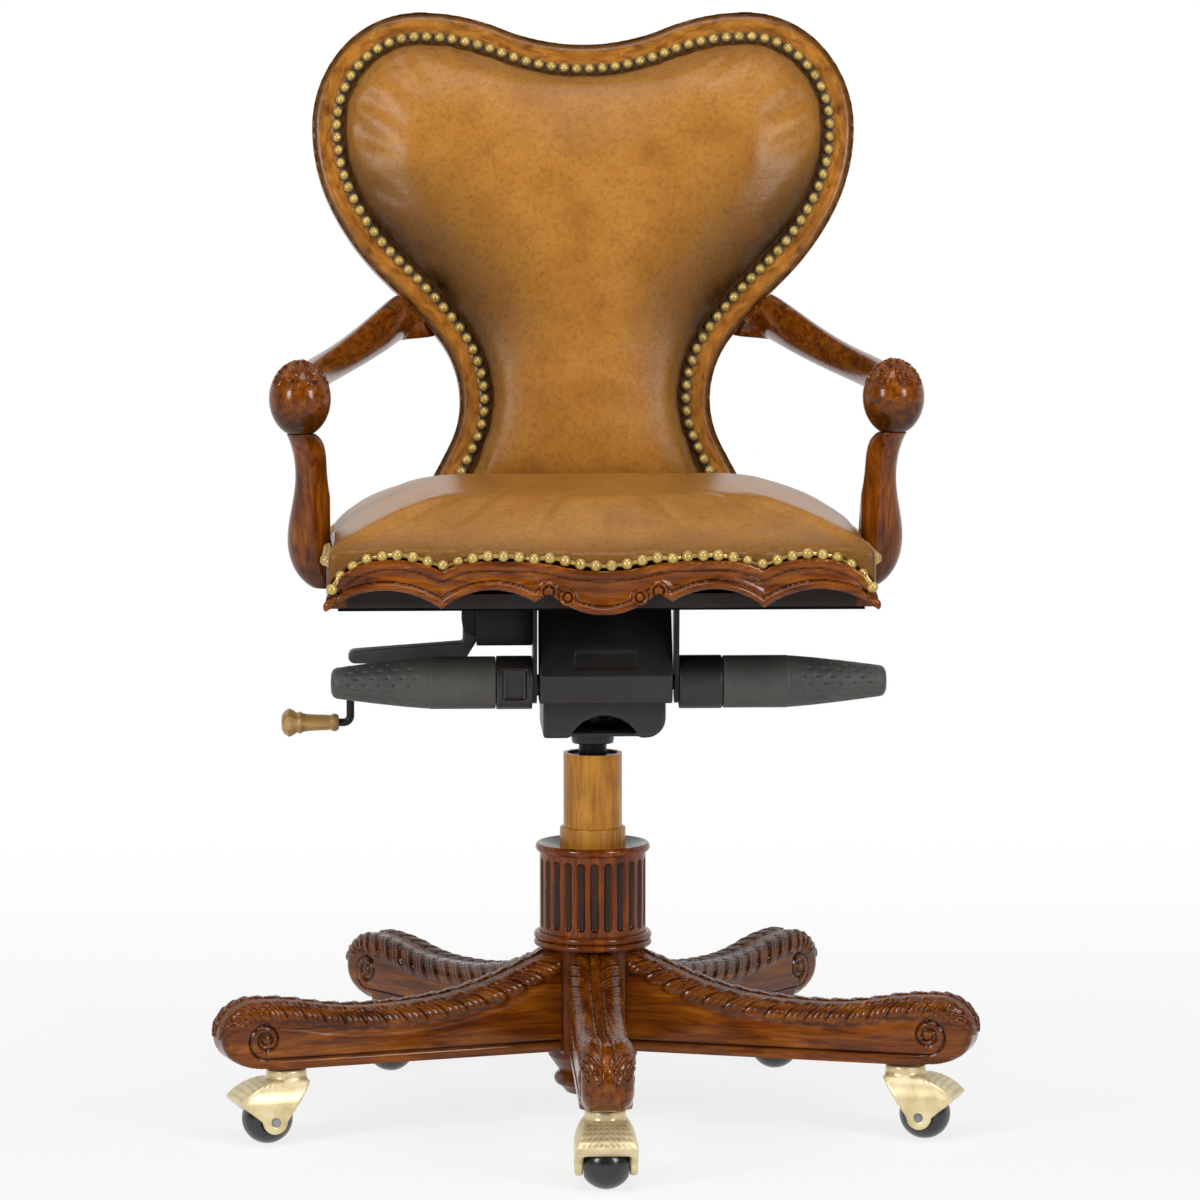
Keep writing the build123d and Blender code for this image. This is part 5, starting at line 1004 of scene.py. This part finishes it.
# The hide is tucked in at the nails, so that they stand clear of its roll.
tuck = 0.005 * step(0.02, 0.0, inset) * step(0.0, 0.03, flat[:, 1])
spots[:, 0] += np.sign(spots[:, 0]) * ahead[index, 1] * tuck
spots -= up * (ahead[index, 0] * tuck)[:, None]
spots += normals * (0.00025 * pucker * step(0.0, 0.3, normals @ out))[:, None]
# Its foot is drawn down behind the seat.
spots -= up * (0.016 * step(0.045, 0.0, flat[:, 1]))[:, None]
put_points(backrest, spots)
# antique: antiquing along every edge, with painted shade where the edge faces down.
wide = 0.045 + 0.085 * step(-0.1, 0.7, down)
put_values(backrest, "antique", np.clip(shade * np.clip(1 - inset / wide, 0, 1) ** 1.2, 0, 0.95))
dress(backrest, leather, "seat", "leather", "back_pad")

# Back nails: brass domes a little smaller than the seat's, driven through a dark gimp that lies
# in a channel between the hide and the golden band.
dark_gimp = worn(
    "gimp_dark_brown", 0.005, 0.0016, ("#1a0f06", "#33200d", "#594222"), (0.4, 0.6), 0.0003, IOR=1.5
)
back_shell = surface(backrest, back)
nail_half = back_line(0.0255, 0.002)
full_line = np.concatenate([nail_half[::-1], nail_half[1:] * (-1, 1)])
nail_path = on_back(full_line, 0.004)
BACK_NAIL = 0.0054
BACK_NAIL_PITCH = 0.0132
places, _ = spread(nail_path, BACK_NAIL_PITCH)
drive_nails("back_nails", places, [out] * len(places), back_shell, BACK_NAIL, "seat")
gimp_path = nail_path[::3]
lay_strip("back_gimp", gimp_path, [out] * len(gimp_path), back_shell, 0.0046, 0.0008, dark_gimp, "leather", "seat")

# Arms: shaped walnut, tenoned into the back frame and ending in a ball with punched leaves.
# The grain follows the arm, and painted shade darkens the underside of the ball and its neck.
BALL = np.array([0.291, -0.120, 0.742])
BALL_SIZE = np.array([0.0305, 0.0305, 0.038])
ARM_OUT = 0.020
PEG = (0.204, 0.175, 0.812)
SLASH_HEIGHT = 0.768
SLASH_RISE = 0.12
outside = headings(outline)[:, ::-1] * (-1, 1)
for place, sign in (("left", -1), ("right", 1)):
    arm = soften("arm_" + place + "_carved", "arm_" + place, 0.0015, 9)
    spots, normals = points_of(arm)
    # The arm's end runs outward past the frame's face and is let in behind its outer edge.
    spots[:, 0] += sign * ARM_OUT * np.clip((spots[:, 1] + 0.08) / 0.28, 0, 1)
    spots[:, 1] += 0.010 * step(0.14, 0.215, spots[:, 1])
    flat, lift = off_back(spots)
    spots[:, 0] -= sign * 0.028 * step(0.004, -0.018, lift)
    flat, lift = off_back(spots)
    edge, index = near(flat, outline)
    aside = flat - outline[index]
    within = (aside * outside[index]).sum(1) < 0.0005
    shove = np.where(within & (lift < 0.03) & (lift > -0.004), edge + 0.0005, 0.0)
    spots[:, 0] += sign * outside[index, 0] * shove
    spots += up * (outside[index, 1] * shove)[:, None]
    put_points(arm, spots)
    spots, normals = points_of(arm)
    ball = (spots - BALL * (sign, 1, 1)) * (sign, 1, 1)
    round_ball = ball / BALL_SIZE
    polar = np.arctan2(round_ball[:, 0], -round_ball[:, 1])
    height = round_ball[:, 2]
    on_ball = step(1.25, 1.1, np.linalg.norm(round_ball, axis=1)) * (round_ball[:, 1] < 0.35)
    leaf = np.zeros(len(spots))
    lip = np.zeros(len(spots))
    for centre in (-1.25, -0.5, 0.25, 1.0):
        wide = 0.22 + 0.12 * np.clip(height - 0.5, 0, 0.5)
        shape = 1 - np.abs((polar - centre) / wide) ** 2.6 - np.abs((height - 0.66) / 0.34) ** 2.6
        leaf = np.maximum(leaf, step(0.0, 0.3, shape))
        lip = np.maximum(lip, step(0.35, 0.05, np.abs(shape)))
    stipple = np.sin(spots[:, 0] * 2600) * np.sin(spots[:, 1] * 2600 + 1.0) * np.sin(spots[:, 2] * 2400)
    leaf, lip = leaf * on_ball, lip * on_ball
    back_by = spots[:, 1]
    slash = np.exp(-(((spots[:, 2] - SLASH_HEIGHT - SLASH_RISE * (back_by - 0.05)) / 0.0016) ** 2))
    slash *= step(-0.02, 0.03, back_by) * step(0.13, 0.09, back_by) * step(0.1, 0.5, normals[:, 2])
    spots += normals * (leaf * (-0.0018 + 0.0009 * stipple) + 0.0011 * lip - 0.0014 * slash)[:, None]
    put_points(arm, spots)
    pegs = np.linalg.norm(spots - np.array(PEG) * (sign, 1, 1), axis=1)
    # Painted shade under the ball; dark wax in the leaves and the gouge, and a dark spot at the peg.
    under = step(0.2, -0.8, height) * step(1.3, 1.0, np.linalg.norm(round_ball, axis=1))
    stain = 0.45 * leaf * (0.6 - 0.4 * stipple) + 0.7 * slash + 0.8 * step(0.0075, 0.0055, pegs)
    put_values(arm, "wax_and_shade", np.clip(stain + 0.7 * under, 0, 0.95))
    put_values(arm, "grain", np.stack([spots[:, 1], spots[:, 0], spots[:, 2]], axis=1))
    dress(arm, carved_walnut, "seat", "walnut", "arm_" + place)
    post = soften("arm_post_" + place, "arm_support_" + place, 0.0016, 6)
    spots, _ = points_of(post)
    # Painted shade darkens the post's foot beside the seat and its top under the arm.
    put_values(post, "wax_and_shade", 0.6 * step(0.60, 0.552, spots[:, 2]) + 0.35 * step(0.69, 0.712, spots[:, 2]))
    put_values(post, "grain", np.stack([spots[:, 2], spots[:, 0], spots[:, 1]], axis=1))
    dress(post, carved_walnut, "seat", "walnut", "arm_support_" + place)

# Studio: a sweep of white paper that fades into a white backdrop behind the chair, two tall
# soft boxes in front, one overhead, and the photograph's long lens. None of it is the chair's.
def backdrop_rays(tree):
    """1 for the rays that see the backdrop: camera, glossy and transmission rays."""
    ray = add(tree, "LightPath").outputs
    seen = add(tree, "Math", links={0: ray["Is Camera Ray"], 1: ray["Is Glossy Ray"]}, operation="MAXIMUM")
    both = {0: seen.outputs["Value"], 1: ray["Is Transmission Ray"]}
    return add(tree, "Math", links=both, operation="MAXIMUM").outputs["Value"]


bpy.ops.mesh.primitive_plane_add(size=30.0)
floor = bpy.context.object
floor.name = "studio_floor"
paper, tree, shader = new_material("studio_paper_white", Roughness=0.9, Specular_IOR_Level=0.1)
shader.inputs["Base Color"].default_value = linear("#f7f7f7")
spot = add(tree, "TexCoord").outputs["Object"]
parts = add(tree, "SeparateXYZ", links={"Vector": spot})
fade = add(tree, "MapRange", {"From Min": -0.6, "From Max": 2.0, "To Min": 0.78}, {"Value": parts.outputs["Y"]},
           interpolation_type="SMOOTHSTEP")
share = add(tree, "Math", links={0: fade.outputs["Result"], 1: backdrop_rays(tree)}, operation="MULTIPLY")
glow = add(tree, "Emission", {"Color": (1, 1, 1, 1), "Strength": 1.0})
layers = {0: share.outputs["Value"], 1: shader.outputs["BSDF"], 2: glow.outputs["Emission"]}
blend = add(tree, "MixShader", links=layers)
tree.links.new(blend.outputs["Shader"], tree.nodes["Material Output"].inputs["Surface"])
floor.data.materials.append(paper)

world = bpy.data.worlds.new("studio_air")
bpy.context.scene.world = world
world.use_nodes = True
tree = world.node_tree
# The white backdrop stands behind the chair; the rest of the room is dim.
parts = add(tree, "SeparateXYZ", links={"Vector": add(tree, "TexCoord").outputs["Generated"]})
behind = add(tree, "MapRange", {"From Min": -0.1, "From Max": 0.35}, {"Value": parts.outputs["Y"]})
share = add(tree, "Math", links={0: behind.outputs["Result"], 1: backdrop_rays(tree)}, operation="MULTIPLY")
power = add(tree, "MapRange", {"To Min": 0.12, "To Max": 1.0}, {"Value": share.outputs["Value"]})
tree.nodes["Background"].inputs["Color"].default_value = (1, 1, 1, 1)
tree.links.new(power.outputs["Result"], tree.nodes["Background"].inputs["Strength"])

for name, place, aim, size, watts in (
    ("soft_box_left", (-2.6, -2.8, 1.7), (0, 0, 0.6), (0.75, 1.5), 74.0),
    ("soft_box_right", (2.4, -3.0, 1.7), (0, 0, 0.6), (0.75, 1.5), 68.0),
    ("soft_box_over", (0.0, -1.4, 3.2), (0, 0, 0.4), (1.8, 1.2), 38.0),
):
    lamp = bpy.data.lights.new(name, "AREA")
    lamp.shape = "RECTANGLE"
    lamp.size, lamp.size_y = size
    lamp.energy = watts
    holder = bpy.data.objects.new(name, lamp)
    holder.location = place
    holder.rotation_euler = (Vector(aim) - Vector(place)).to_track_quat("-Z", "Y").to_euler()
    bpy.context.collection.objects.link(holder)

lens = bpy.data.cameras.new("long_lens")
lens.sensor_width = 36.0
lens.lens = 195.93
camera = bpy.data.objects.new("long_lens", lens)
camera.location = (-0.2422, -6.4955, 1.275)
camera.rotation_euler = (math.radians(83.45), 0.0, math.radians(-2.2))
bpy.context.collection.objects.link(camera)
bpy.context.scene.camera = camera
bpy.context.scene.view_settings.view_transform = "Standard"
